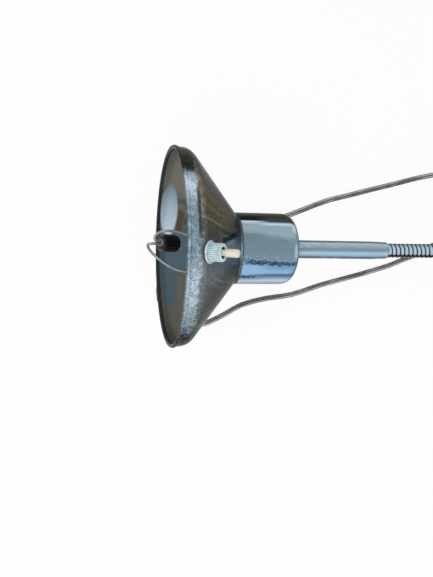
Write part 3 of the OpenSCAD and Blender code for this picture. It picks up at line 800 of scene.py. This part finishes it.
# %% Leads at the two ends of the neck
CORE_R = 1.6
stem_lead_line = [OUT * 97.5 * MM + Vector((0, 0, 7 * MM)), OUT * 37 * MM + Vector((0, 0, 7 * MM))]
stem_lead_line += [OUT * 7 * MM + Vector((0, 0, 6 * MM))] + [Vector((0, 0, z * MM)) for z in (13, 23, 100)]
sleeve_lead_line = [NECK_END, Vector((CUP_BACK_X - 10 * MM, 0, AXIS_Z))]
for name, line, body, nodes in (
    ("lead_in_stem", stem_lead_line, "base", ["neck_lead"]),
    ("lead_in_sleeve", sleeve_lead_line, "head", []),
):
    end_lead = tube_piece(name, smooth_line(line, 3 * MM), round_section(CORE_R), (0, 1, 0), CLEAR_FLEX)
    declare(end_lead, body, "clear_flex", *nodes)
print("lead ends made")

# %% [markdown]
# ## Chrome that mirrors a room
#
# Chrome has no colour of its own: what one sees is the room, bent by the shape.
# Under plain white light it would look like white plastic. So the broad bands
# that a room leaves on turned chrome are painted from one small set of tones, in
# coordinates that belong to the part: how far behind the mouth a spot lies and how
# far it is turned round the axis. The same paint is mirrored on the far side.


# %% Coordinates of the head
TO_DEGREES = math.degrees(1)


def head_place(f):
    """Position, depth behind the mouth in mm, turn from top or bottom, full turn, and outwardness."""
    where = f.place()
    x, y, z = f.axes(where)
    up = z - AXIS_Z
    depth = (x - MOUTH_X) / MM
    turn = f.sum("ARCTAN2", y, f.size(up)) * TO_DEGREES
    full = f.sum("ARCTAN2", y, up) * TO_DEGREES
    full = full + f.sum("LESS_THAN", full, 0) * 360
    _, face_y, face_z = f.axes(f.place("Normal"))
    outward = (face_y * y + face_z * up) / (y * y + up * up) ** 0.5
    return where, depth, turn, full, outward


def spot(f, u, v, u_at, v_at, u_half, v_half, soft=0.25):
    """An oval patch in two coordinates, 1 inside and 0 outside."""
    away = ((u - u_at) / u_half) ** 2 + ((v - v_at) / v_half) ** 2
    return 1 - away.rise(1 - soft, 1 + soft)


def streaks(f, across, along, width, length):
    """Soft lines that run with one coordinate, between 0 and 1."""
    vector = f.node("ShaderNodeCombineXYZ", {}, _0=across / width, _1=along / length, _2=0.3)
    return f.node("ShaderNodeTexNoise", {}, Vector=vector, Scale=1.0, Detail=3.0, Roughness=0.6)


print("head coordinates ready")


# %% [markdown]
# The shade is spun from sheet: its band round the mouth is pitted and dull, with
# bands of painted reflection. On the cone behind it, dark furniture is painted as
# curved streaks of reflection. Inside, it is painted nearly black as shade, with pale
# ovals of painted reflection where light comes in at the mouth.


# %% Finish of the shade's outside
def shade_outside(f, where, depth, turn):
    # Bands of painted reflection on the band and on the front, middle and back of the cone, by turn from the
    # bottom (-90) to the top (90).
    band = f.ramp(
        turn,
        *[(-90, STEEL), (-76, DUSK), (-65, GAP), (-59, GAP), (-47, STEEL), (-30, HAZE), (-20, HAZE)],
        *[(-8, STEEL), (17, STEEL), (25, HAZE), (31, GLARE), (35, HAZE), (41, GAP), (58, MOSS)],
        *[(76, DUSK), (90, PEWTER)],
    )
    front = f.ramp(
        turn,
        *[(-90, PEWTER), (-66, ASH), (-42, ASH), (-20, PEWTER), (-8, PEWTER), (1, DUSK), (8, DUSK)],
        *[(20, WOOD), (32, WOOD), (48, ASH), (90, PEWTER)],
    )
    middle = f.ramp(
        turn,
        *[(-90, DUSK), (-50, ASH), (-28, ASH), (-18, PEWTER), (-10, STEEL), (4, MIST), (8, SHADOW)],
        *[(17, WOOD), (30, WOOD), (46, MOSS), (90, ASH)],
    )
    back = f.ramp(
        turn,
        *[(-90, ASH), (-34, ASH), (-26, SLATE), (-15, STEEL), (-2, STEEL), (10, SLATE), (26, SHADOW)],
        *[(46, MOSS), (56, DUSK), (90, DUSK)],
    )
    cone = f.mix(depth.rise(22, 34), front, middle)
    cone = f.mix(depth.rise(37, 43), cone, back)
    past = depth - 22
    swept_turn = turn - ((past + f.size(past)) / 2) ** 2 * 0.03
    wood_reflection_streaks = streaks(f, swept_turn, depth, 2.4, 60)
    wood_reflection_zone = turn.within(10, 44, 5) * depth.within(9, 44, 3)
    cool_reflection_streaks = streaks(f, turn + depth * 1.1, depth, 2.6, 30)
    cool_reflection_zone = turn.within(-60, -18, 6) * depth.within(11, 42, 3)
    grime = f.noise(where, 2.2, 5, 0.75)
    dark_reflection_line = (swept_turn + (grime - 0.5) * 8).within(-1.8, 3.4, 0.9) * depth.within(27, 43.5, 2)
    # Brown and cool streaks of painted reflection, a pale line of painted reflection, random tone, and a dark
    # line of painted reflection across the back of the cone.
    cone = f.coats(
        cone,
        (wood_reflection_streaks.rise(0.5, 0.68) * wood_reflection_zone * 0.6, (140, 126, 100)),
        (wood_reflection_streaks.fall(0.32, 0.46) * wood_reflection_zone * 0.3, (62, 54, 40)),
        (turn.within(12, 13.2, 0.6) * depth.within(9, 35, 3) * 0.6, (150, 146, 128)),
        (cool_reflection_streaks.rise(0.55, 0.68) * cool_reflection_zone * 0.6, (150, 150, 165)),
        (cool_reflection_streaks.fall(0.36, 0.45) * cool_reflection_zone * 0.35, (60, 55, 52)),
        (grime.rise(0.5, 0.64) * 0.4, (146, 137, 130)),
        (grime.fall(0.36, 0.5) * 0.25, (50, 47, 42)),
        (dark_reflection_line * 0.9, (28, 36, 48)),
    )
    edge = (depth + (grime - 0.5) * 9).rise(7.5, 10)
    band_zone = depth.fall(8, 14)
    mottle = f.noise(where, 4, 4, 0.7)
    fine = f.noise(where, 1.1, 4, 0.75)
    return f.coats(
        f.mix(edge, band, cone),
        (mottle.rise(0.5, 0.68) * band_zone * turn.within(-62, 40, 6) * 0.5, (206, 220, 228)),
        (mottle.fall(0.34, 0.48) * band_zone * 0.4, (86, 92, 98)),
        (fine.rise(0.53, 0.6) * turn.within(-66, 36, 8) * band_zone * 0.7, (74, 70, 74)),
        # Painted shade in the crease between band and cone.
        (depth.within(7.4, 9.6, 0.6) * turn.within(2, 30, 4) * 0.85, (44, 54, 58)),
        (fine.fall(0.36, 0.42) * depth.fall(8, 26) * turn.within(-75, -4, 10) * 0.7, (222, 232, 244)),
    )


# %% Finish of the shade's inside
def shade_inside(f, where, depth, full):
    clouds = f.noise(where, 7).rise(0.35, 0.65)
    # The inside's colour is painted: its dark tones are painted shade, and the bands and ovals are painted
    # reflection of light coming in at the mouth.
    colour = f.coats(
        f.mix(clouds, linear(76, 80, 78), linear(110, 112, 104)),
        (full.within(84, 136, 6) * 0.95, (124, 121, 110)),
        (full.within(196, 276, 8) * 0.85, (106, 105, 94)),
        (full.within(165, 196, 6) * 0.9, (86, 108, 122)),
        (spot(f, depth, full, 17, 156, 2.6, 9) * 0.9, (92, 78, 62)),
    )
    window_reflection = f.ramp(full, (132, STEEL), (148, HAZE), (166, GLARE))
    colour = f.mix(spot(f, depth, full, 9.1, 150, 6.5, 19), colour, window_reflection)
    return f.coats(
        colour,
        (spot(f, depth, full, 10, 206, 6, 14), (84, 104, 111)),
        # Painted shade in the groove just inside the lip, and deeper in the cone.
        (depth.fall(1.2, 2.8) * 0.85, (28, 36, 40)),
        (depth.rise(26, 44) * 0.7, (56, 62, 66)),
    )


def shade_finish():
    f = Finish("spun_shade", **MIRROR)
    where, depth, turn, full, outward = head_place(f)
    outer = outward.rise(-0.1, 0.1)
    colour = f.mix(outer, shade_inside(f, where, depth, full), shade_outside(f, where, depth, turn))
    # Painted dark reflection on the front of the rolled lip.
    lip_dark_reflection = depth.fall(0.2, 1.0) * turn.within(-60, 60, 20)
    wear = f.noise(where, 3).rise(0.4, 0.7)
    spun = f.noise(f.node("ShaderNodeCombineXYZ", {}, _0=depth * 4, _1=turn * 0.02), 1000, 2)
    return f.give(
        Base_Color=f.mix(lip_dark_reflection * 0.5, colour, linear(52, 58, 58)),
        Metallic=outer * 0.35 + 0.2,
        Roughness=wear * 0.18 + 0.16,
        Normal=f.bump(spun + wear * 0.4, 0.03),
    )


paint(shade_finish(), "shade")
print("shade finished")

# %% [markdown]
# The cup is a drawn chrome cylinder: straight bands of painted reflection run along it,
# from a wide pale middle to a dark upper edge and bright lower edge, and they bend
# where the back corner is rounded. Fine scratches give it age, and ragged dark lines
# of painted reflection cross it. Two ovals near the back are painted highlights, and
# the inside is painted dark as shade.


# %% Finish of the cup
def cup_finish():
    f = Finish("drawn_cup", **MIRROR)
    where, depth, turn, _, outward = head_place(f)
    # Bands of painted reflection along the cup, by turn from the bottom (-90) to the top (90), at its front
    # and its back.
    front = f.ramp(
        turn,
        *[(-90, GLARE), (-66, GLARE), (-56, DEEP), (-46, SKY), (-33, SKY), (-26, DEEP), (-17, STEEL)],
        *[(19, STEEL), (26, MIST), (37, MIST), (40, HAZE), (44, GLARE), (46, GAP), (57, GAP)],
        *[(62, DUSK), (74, PEWTER), (90, DUSK)],
    )
    back = f.ramp(
        turn,
        *[(-90, HAZE), (-64, GLARE), (-53, DEEP), (-48, DEEP), (-44, SKY), (-27, DEEP), (-22, STEEL)],
        *[(10, STEEL), (18, MIST), (34, MIST), (38, GLARE), (40.5, MIST), (43, SHADOW), (55, MOSS)],
        *[(64, DUSK), (90, DUSK)],
    )
    ragged = (f.noise(where, 2.4, 4, 0.7) - 0.5) * 16
    bound = 21 - (depth - 48) * 0.14
    reach_back = 88 - (turn + 8) ** 2 * 0.02
    inner_reflection_patch = (turn - bound).fall(-1.2, 1.2) * turn.rise(-24, -20) * (depth - reach_back).fall(-1.5, 1.5)
    navy_reflection_line = f.size(turn + 24 + (depth - 50) * 0.13 + ragged).fall(2.4, 4.2)
    squiggle_reflection_line = f.size(turn + 53 + ragged).fall(1.2, 2.4)
    scratch = f.noise(where, 0.9, 4, 0.8).rise(0.56, 0.62) * turn.within(-34, -12, 6)
    hair = streaks(f, turn, depth, 0.7, 30)
    colour = f.coats(
        f.mix(depth.rise(58, 72), front, back),
        # A dim patch and ragged dark lines of painted reflection.
        (inner_reflection_patch * 0.3, (92, 112, 124)),
        (navy_reflection_line * depth.rise(50, 53) * 0.9, (26, 46, 78)),
        (turn.within(-51.5, -48.5, 0.8) * depth.within(58, 88, 2) * 0.75, (78, 102, 124)),
        (squiggle_reflection_line * depth.within(47, 60, 1.5) * 0.85, (34, 52, 74)),
        (depth.fall(48.6, 49.8) * 0.85, (44, 54, 60)),
        (scratch * 0.7, (206, 226, 246)),
        # Painted reflection on the rounded back corner: paler, then dark at the back edge.
        (depth.rise(86, 92) * 0.7, (120, 150, 165)),
        (depth.rise(93.2, 95) * 0.85, (60, 70, 78)),
        # Two painted highlights near the back.
        (spot(f, depth, turn, 89.5, -8, 2.2, 12, 0.9) * 0.6, (196, 214, 226)),
        (spot(f, depth, turn, 88.5, 31, 1.8, 8, 0.9) * 0.8, (206, 226, 236)),
        (hair.rise(0.63, 0.72) * 0.3, (210, 226, 240)),
        (hair.fall(0.3, 0.36) * 0.3, (70, 90, 110)),
        # Painted shade inside the cup.
        (outward.fall(-0.5, -0.2), (30, 34, 36)),
    )
    wear = f.noise(where, 4).rise(0.4, 0.7)
    return f.give(Base_Color=colour, Roughness=wear * 0.12 + 0.14, Normal=f.bump(hair + wear * 0.3, 0.02))


paint(cup_finish(), "cup")
print("cup finished")


# %% Finish of the sleeve
def sleeve_finish():
    f = Finish("sleeve_tube", **MIRROR)
    where, _, turn, _, _ = head_place(f)
    # Bands of painted reflection round the tube, by turn from the bottom (-90) to the top (90).
    bands = f.ramp(
        turn,
        *[(-90, PEWTER), (-58, PEWTER), (-42, SKY), (-25, HAZE), (-8, STEEL), (2, STEEL), (20, MIST)],
        *[(42, HAZE), (57, PEWTER), (72, ASH), (90, DUSK)],
    )
    scuffs = f.noise(f.stretched(where, (0.25, 1, 1)), 2.5, 4, 0.65)
    bright, dark = scuffs.rise(0.55, 0.7) * 0.35, scuffs.fall(0.3, 0.42) * 0.3
    colour = f.coats(bands, (bright, (196, 212, 222)), (dark, (84, 98, 106)))
    return f.give(Base_Color=colour, Roughness=scuffs * 0.2 + 0.14, Normal=f.bump(scuffs, 0.03))


paint(sleeve_finish(), "neck_sleeve")
print("sleeve finished")

# %% [markdown]
# ## The toggle switch
#
# It stands square on the cone, held by a thin washer and a long round nut with
# fine ribs for the fingers. Its lever turns on a ball inside the nut, so the lever
# alone rides the switch's joint. All three are pale plastic, a little yellowed.


# %% Switch
def plastic_finish(name, pale, aged, rough):
    f = Finish(name, Coat_Weight=0.15)
    where = f.place()
    clouds = f.noise(where, 5).rise(0.4, 0.7)
    return f.give(
        Base_Color=f.mix(clouds * 0.7, linear(*pale), linear(*aged)),
        Roughness=clouds * 0.15 + rough,
        Normal=f.bump(f.noise(where, 0.8), 0.03),
    )


WASHER_PLASTIC = plastic_finish("cool_plastic", (196, 216, 220), (150, 172, 178), 0.3)
CREAM_PLASTIC = plastic_finish("cream_plastic", (226, 219, 202), (200, 190, 168), 0.35)
CONE, TURNED, TILT = math.radians(51.3), math.radians(-6), math.radians(12)
NUT_RIBS = 28
pivot = Vector(next(joint for joint in frame["joints"] if joint["name"] == "switch_toggle")["pos_m"])
switch_way = Vector((math.sin(CONE), math.cos(CONE) * math.sin(TURNED), math.cos(CONE) * math.cos(TURNED)))
to_mouth = Vector((-math.cos(CONE), math.sin(CONE) * math.sin(TURNED), math.sin(CONE) * math.cos(TURNED)))
sheet = pivot - switch_way * 6 * MM


def nut_finish():
    """The same plastic, with painted shade in the grooves between its ribs."""
    f = Finish("ribbed_plastic", Coat_Weight=0.15)
    where = f.place()
    from_pivot = f.node("ShaderNodeVectorMath", {"operation": "SUBTRACT"}, _0=where, _1=pivot)
    across = switch_way.orthogonal().normalized()
    u, v = [
        f.node("ShaderNodeVectorMath", {"operation": "DOT_PRODUCT"}, "Value", _0=from_pivot, _1=way)
        for way in (across, switch_way.cross(across))
    ]
    ridge = f.sum("COSINE", f.sum("ARCTAN2", v, u) * NUT_RIBS)
    rim = (u * u + v * v) ** 0.5 / MM
    # Painted shade in the grooves between the ribs.
    rib_groove_shade = ridge.fall(-0.7, 0.5) * rim.rise(5.3, 5.6)
    clouds = f.noise(where, 4).rise(0.4, 0.7)
    pale = f.mix(clouds * 0.8, linear(218, 240, 244), linear(160, 196, 204))
    colour = f.mix(rib_groove_shade * 0.75, pale, linear(84, 116, 116))
    return f.give(Base_Color=colour, Roughness=clouds * 0.15 + 0.28, Normal=f.bump(f.noise(where, 0.8), 0.03))


NUT_PLASTIC = nut_finish()


def nut_ribs(angle, height, radius):
    if radius < 5.6 or not 1.9 < height < 9.4:
        return 0
    return 0.28 * (max(0, math.cos(NUT_RIBS * angle)) ** 0.6) - 0.2


washer_ring = [(5.05, 0), (7.2, 0), (7.5, 0.3), (7.5, 0.8), (7.2, 1.2), (5.05, 1.2)]
washer = lathe("switch_washer_ring", washer_ring, sheet, switch_way, WASHER_PLASTIC, ring=True)
nut_outline = [(5.05, 1.2), (5.5, 1.2), (5.8, 1.5), (5.8, 1.9), (5.9, 2), (5.9, 9.3), (5.8, 9.4), (5.7, 9.7)]
nut_outline += [(5.4, 9.95), (5, 10), (4.2, 10), (4, 9.8), (4, 8.5), (5.05, 8.4)]
nut = lathe("switch_nut_ribbed", nut_outline, sheet, switch_way, NUT_PLASTIC, 168, nut_ribs, ring=True)
lever_outline = [(0.01, -3), (1.2, -2.75), (2.1, -2.14), (2.75, -1.2), (3, 0), (2.75, 1.2), (2.2, 2)]
lever_outline += [(2.1, 2.4), (2.1, 5.2), (2.25, 6.2), (2.6, 7.4), (2.65, 8), (2.65, 14.9)]
lever_outline += [(2.4, 15.6), (1.8, 15.95), (0.01, 16)]
lever_way = switch_way * math.cos(TILT) + to_mouth * math.sin(TILT)
lever = lathe("switch_lever_cream", lever_outline, pivot, lever_way, CREAM_PLASTIC, 32)
declare(washer, "head", "cream_plastic", "switch_washer")
declare(nut, "head", "cream_plastic", "switch_nut")
declare(lever, "toggle", "cream_plastic", "switch_lever")
print("switch made")

# %% [markdown]
# ## The splice in the mouth
#
# The feed lead comes over the shade's edge and is joined to the lamp's own lead in
# a black cap. The leads are stiff enough to stand in a loop, so each is one smooth
# line. They are written as height, side and distance in front of the mouth.

# %% Splice cap
def at_mouth(points):
    return [Vector((MOUTH_X - out * MM, side * MM, AXIS_Z + up * MM)) for up, side, out in points]


CAP_LIFT = math.radians(37)
cap_way = Vector((-math.cos(CAP_LIFT), 0, math.sin(CAP_LIFT)))
cap_foot = at_mouth([(-17.5, 4.3, -1.7)])[0] - cap_way * 8.5 * MM


def cap_ribs(angle, height, radius):
    return 0.22 * math.cos(16 * angle) - 0.22 if radius > 6 and 1.5 < height < 14 else 0


cap_outline = [(0.01, 0), (4.6, 0), (5.8, 0.5), (6.4, 1.2), (6.6, 2.2), (6.6, 5), (6.6, 9), (6.6, 13.6)]
cap_outline += [(6.3, 14.6), (5.9, 15.2), (5.5, 16.4), (4.9, 17), (3.7, 17), (3.3, 16.7)]
cap_outline += [(3.2, 16.2), (3.2, 4), (0.01, 4)]
cap = lathe("splice_cap_black", cap_outline, cap_foot, cap_way, BLACK_MOULDING, 96, cap_ribs)
declare(cap, "head", "black_moulding", "splice_cap")
sleeve_ring = [(2.15, 13), (3.15, 13), (3.15, 17.2), (3, 17.5), (2.3, 17.5), (2.15, 17.2)]
lead_grip = lathe("splice_grip", sleeve_ring, cap_foot, cap_way, FEED_FLEX, ring=True)
declare(lead_grip, "head", "clear_flex")
print("cap made")

# %% Leads of the splice
feed = [(56.73, -2.44, -3.48), (54.6, -2.1, -4.4), (50, -1.2, -8.5), (44, 0, -14), (30, 4, -13)]
feed += [(16, 7.5, -10.5), (4, 10.5, -6.5), (-5, 12.5, -1.5), (-9, 12, 4.5), (-9.3, 9.3, 8.8)]
feed += [(-9.3, 6.4, 9.4), (-10.9, 5.35, 7.1), (-14.6, 5.35, 2.2)]
back_way = [(-14.6, 3.25, 2.2), (-10.9, 3.25, 7.1), (-9.1, 3.2, 10.8), (-10, 2.5, 14.3), (-12, -0.7, 13.3)]
back_way += [(-12.5, -5.3, 9.2), (-11, -10.5, 3.1), (-8, -14.2, -2.3), (-4, -16.8, -7.6), (0, -19, -20)]
back_way += [(0, -19.5, -40), (0, -17.8, -59), (0, -16.4, -69), (0, -16.4, -78)]
tail = [(56, -9.4, -3.48), (54, -9.3, -4.6), (50, -8.8, -9), (44, -8, -17), (33, -4, -26), (22, 6, -36)]
tail += [(12, 14, -46), (4, 18, -56), (0, 16.4, -69), (0, 16.4, -78)]
for name, route, finish, nodes in (
    ("splice_feed", feed, FEED_FLEX, ["splice_leads"]),
    ("splice_return", back_way, CLEAR_FLEX, []),
    ("switch_tail", tail, CLEAR_FLEX, ["switch_lead"]),
):
    lead = tube_piece(name, smooth_line(at_mouth(route), 1.2 * MM), round_section(1.0), (0, 1, 0), finish)
    declare(lead, "head", "clear_flex", *nodes)
    print(name, len(lead.data.vertices), "vertices")

# %% [markdown]
# The lamp holder's shell carries a rolled E14 thread. Seen past the rim it is only
# a few dull rings of brass, so the thread is pressed into its outline.

# %% Lamp holder shell
shell_low, shell_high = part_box("holder_shell")
shell_l = (shell_high[0] - shell_low[0]) / MM
shell_r = (shell_high[2] - shell_low[2]) / 2 / MM
rows = [shell_l * k / 60 for k in range(61)]


def rolled(angle, height, radius):
    ends = min(height, shell_l - height)
    return (0.25 * math.cos(2 * math.pi * height / 2.82 - angle) - 0.3) * eased(ends / 1.5)


shell_outline = [(shell_r, h) for h in rows] + [(shell_r - 0.35, h) for h in reversed(rows)]
shell_at = (shell_low[0], (shell_low[1] + shell_high[1]) / 2, (shell_low[2] + shell_high[2]) / 2)
shell = lathe("holder_thread", shell_outline, shell_at, (1, 0, 0), BRASS, 40, rolled, ring=True)
declare(shell, "head", "brass", "holder_shell")
print("holder shell made")

# %% [markdown]
# ## Base and stem
#
# The base is spun chrome over a cast iron weight, on a rubber pad. Here too the
# bands of a mirrored room are painted, now by the way the surface faces: dark
# below the horizon, a dark line at it, and a wide pale sky above. Fine rings round
# the middle come from the spinning.


# %% Finish of base, collar and stem
def room_finish():
    f = Finish("room_chrome", **MIRROR)
    where = f.place()
    x, y, _ = f.axes(where)
    face_x, face_y, face_z = f.axes(f.place("Normal"))
    level = f.ramp(
        face_z,
        *[(-1, (60, 62, 64)), (-0.2, (95, 98, 100)), (-0.03, (148, 156, 164)), (0.05, (128, 138, 146))],
        *[(0.15, (60, 66, 72)), (0.35, (140, 150, 160)), (0.7, (200, 210, 218)), (0.93, (206, 214, 220))],
        (1, (182, 192, 202)),
    )
    upright = f.ramp(
        f.sum("ARCTAN2", face_y, face_x) * TO_DEGREES,
        *[(-180, (170, 182, 192)), (-150, (196, 208, 216)), (-128, (70, 76, 82)), (-112, (120, 130, 138))],
        *[(-85, (204, 214, 222)), (-60, (150, 162, 172)), (-42, (48, 52, 56)), (-20, (110, 120, 128))],
        *[(10, (186, 198, 206)), (45, (206, 216, 222)), (70, (86, 94, 100)), (95, (150, 162, 170))],
        *[(135, (60, 66, 70)), (160, (140, 150, 158)), (180, (170, 182, 192))],
    )
    # A fan of painted reflection on the top: darker in two opposite sectors and paler in the two between.
    fan = f.sum("SINE", f.sum("ARCTAN2", y, x) * 2 + 0.6)
    top = face_z.rise(0.85, 0.98)
    radius = (x * x + y * y) ** 0.5 / MM
    rings = f.noise(f.node("ShaderNodeCombineXYZ", {}, _0=radius * 0.004), 1.2, 2)
    scuffs = f.noise(where, 5, 5, 0.65)
    colour = f.coats(
        f.mix(f.size(face_z).fall(0.08, 0.3), level, upright),
        (fan.rise(0.1, 1) * top * 0.55, (104, 114, 122)),
        (fan.fall(-1, -0.3) * top * 0.6, (232, 238, 242)),
        (rings.rise(0.5, 0.75) * 0.25, (226, 232, 236)),
        (scuffs.fall(0.32, 0.42) * 0.25, (96, 104, 110)),
    )
    return f.give(Base_Color=colour, Roughness=scuffs * 0.2 + 0.1, Normal=f.bump(rings + scuffs * 0.5, 0.015))


paint(room_finish(), "base_cover", "stem", "stem_collar")
paint(moulding_finish("cast_iron", (58, 58, 60), (96, 88, 82)), "base_weight")
paint(moulding_finish("rubber_pad", (30, 30, 31), (56, 56, 56)), "base_pad")
print("base finished")

# %% [markdown]
# ## Stage and light
#
# A pale floor and one large soft lamp from above. Rays that leave the camera, or
# that chrome sends on, see plain white. The floor is partly a plain matt white, so
# it keeps a soft shadow under the lamp.


# %% Floor, world and lamp
def bright_rays(nodes):
    """1 for a ray from the camera, a mirror or glass, and 0 for any other."""
    camera, glossy, through = [
        nodes.node("ShaderNodeLightPath", {}, name)
        for name in ("Is Camera Ray", "Is Glossy Ray", "Is Transmission Ray")
    ]
    return nodes.sum("MAXIMUM", nodes.sum("MAXIMUM", camera, glossy), through)


WHITE = (1, 1, 1, 1)
FLOOR_HALF, FLOOR_Z = 4, -0.0004
SELF_WHITE = 0.9  # share of the floor's white that needs no light
floor_paint = Finish("floor_paint", Roughness=0.9, Specular_IOR_Level=0.0)
clouds = floor_paint.noise(floor_paint.place(), 60)
floor_paint.give(Base_Color=floor_paint.mix(clouds, linear(240, 240, 240), linear(246, 246, 246)))
glow = floor_paint.node("ShaderNodeEmission", {}, Color=WHITE)
matt = Sock(floor_paint, floor_paint.shader.outputs[0])
seen = floor_paint.node("ShaderNodeMixShader", {}, _0=bright_rays(floor_paint) * SELF_WHITE, _1=matt, _2=glow)
floor_paint.plug(floor_paint.tree.nodes["Material Output"].inputs["Surface"], seen)
corners = [(x * FLOOR_HALF, y * FLOOR_HALF, FLOOR_Z) for x, y in ((-1, -1), (1, -1), (1, 1), (-1, 1))]
floor = add_mesh("floor", corners, [(0, 1, 2, 3)], floor_paint.material)

world = bpy.data.worlds.new("white_room")
bpy.context.scene.world = world
world.use_nodes = True
room = Nodes(world.node_tree)
background = room.tree.nodes["Background"]
room.plug(background.inputs["Color"], WHITE)
room.plug(background.inputs["Strength"], bright_rays(room) * 0.45 + 0.55)

soft_box = bpy.data.lights.new("soft_box", "AREA")
soft_box.shape, soft_box.size, soft_box.energy = "SQUARE", 1.2, 10
lamp = bpy.data.objects.new("soft_box", soft_box)
bpy.context.collection.objects.link(lamp)
lamp.location = AIM + Vector((-0.35, -0.25, 1.1))
lamp.rotation_mode = "QUATERNION"
lamp.rotation_quaternion = (AIM - lamp.location).to_track_quat("-Z", "Y")
lamp.visible_glossy = False
bpy.context.scene.view_settings.view_transform = "Standard"
print("floor, world and lamp ready")
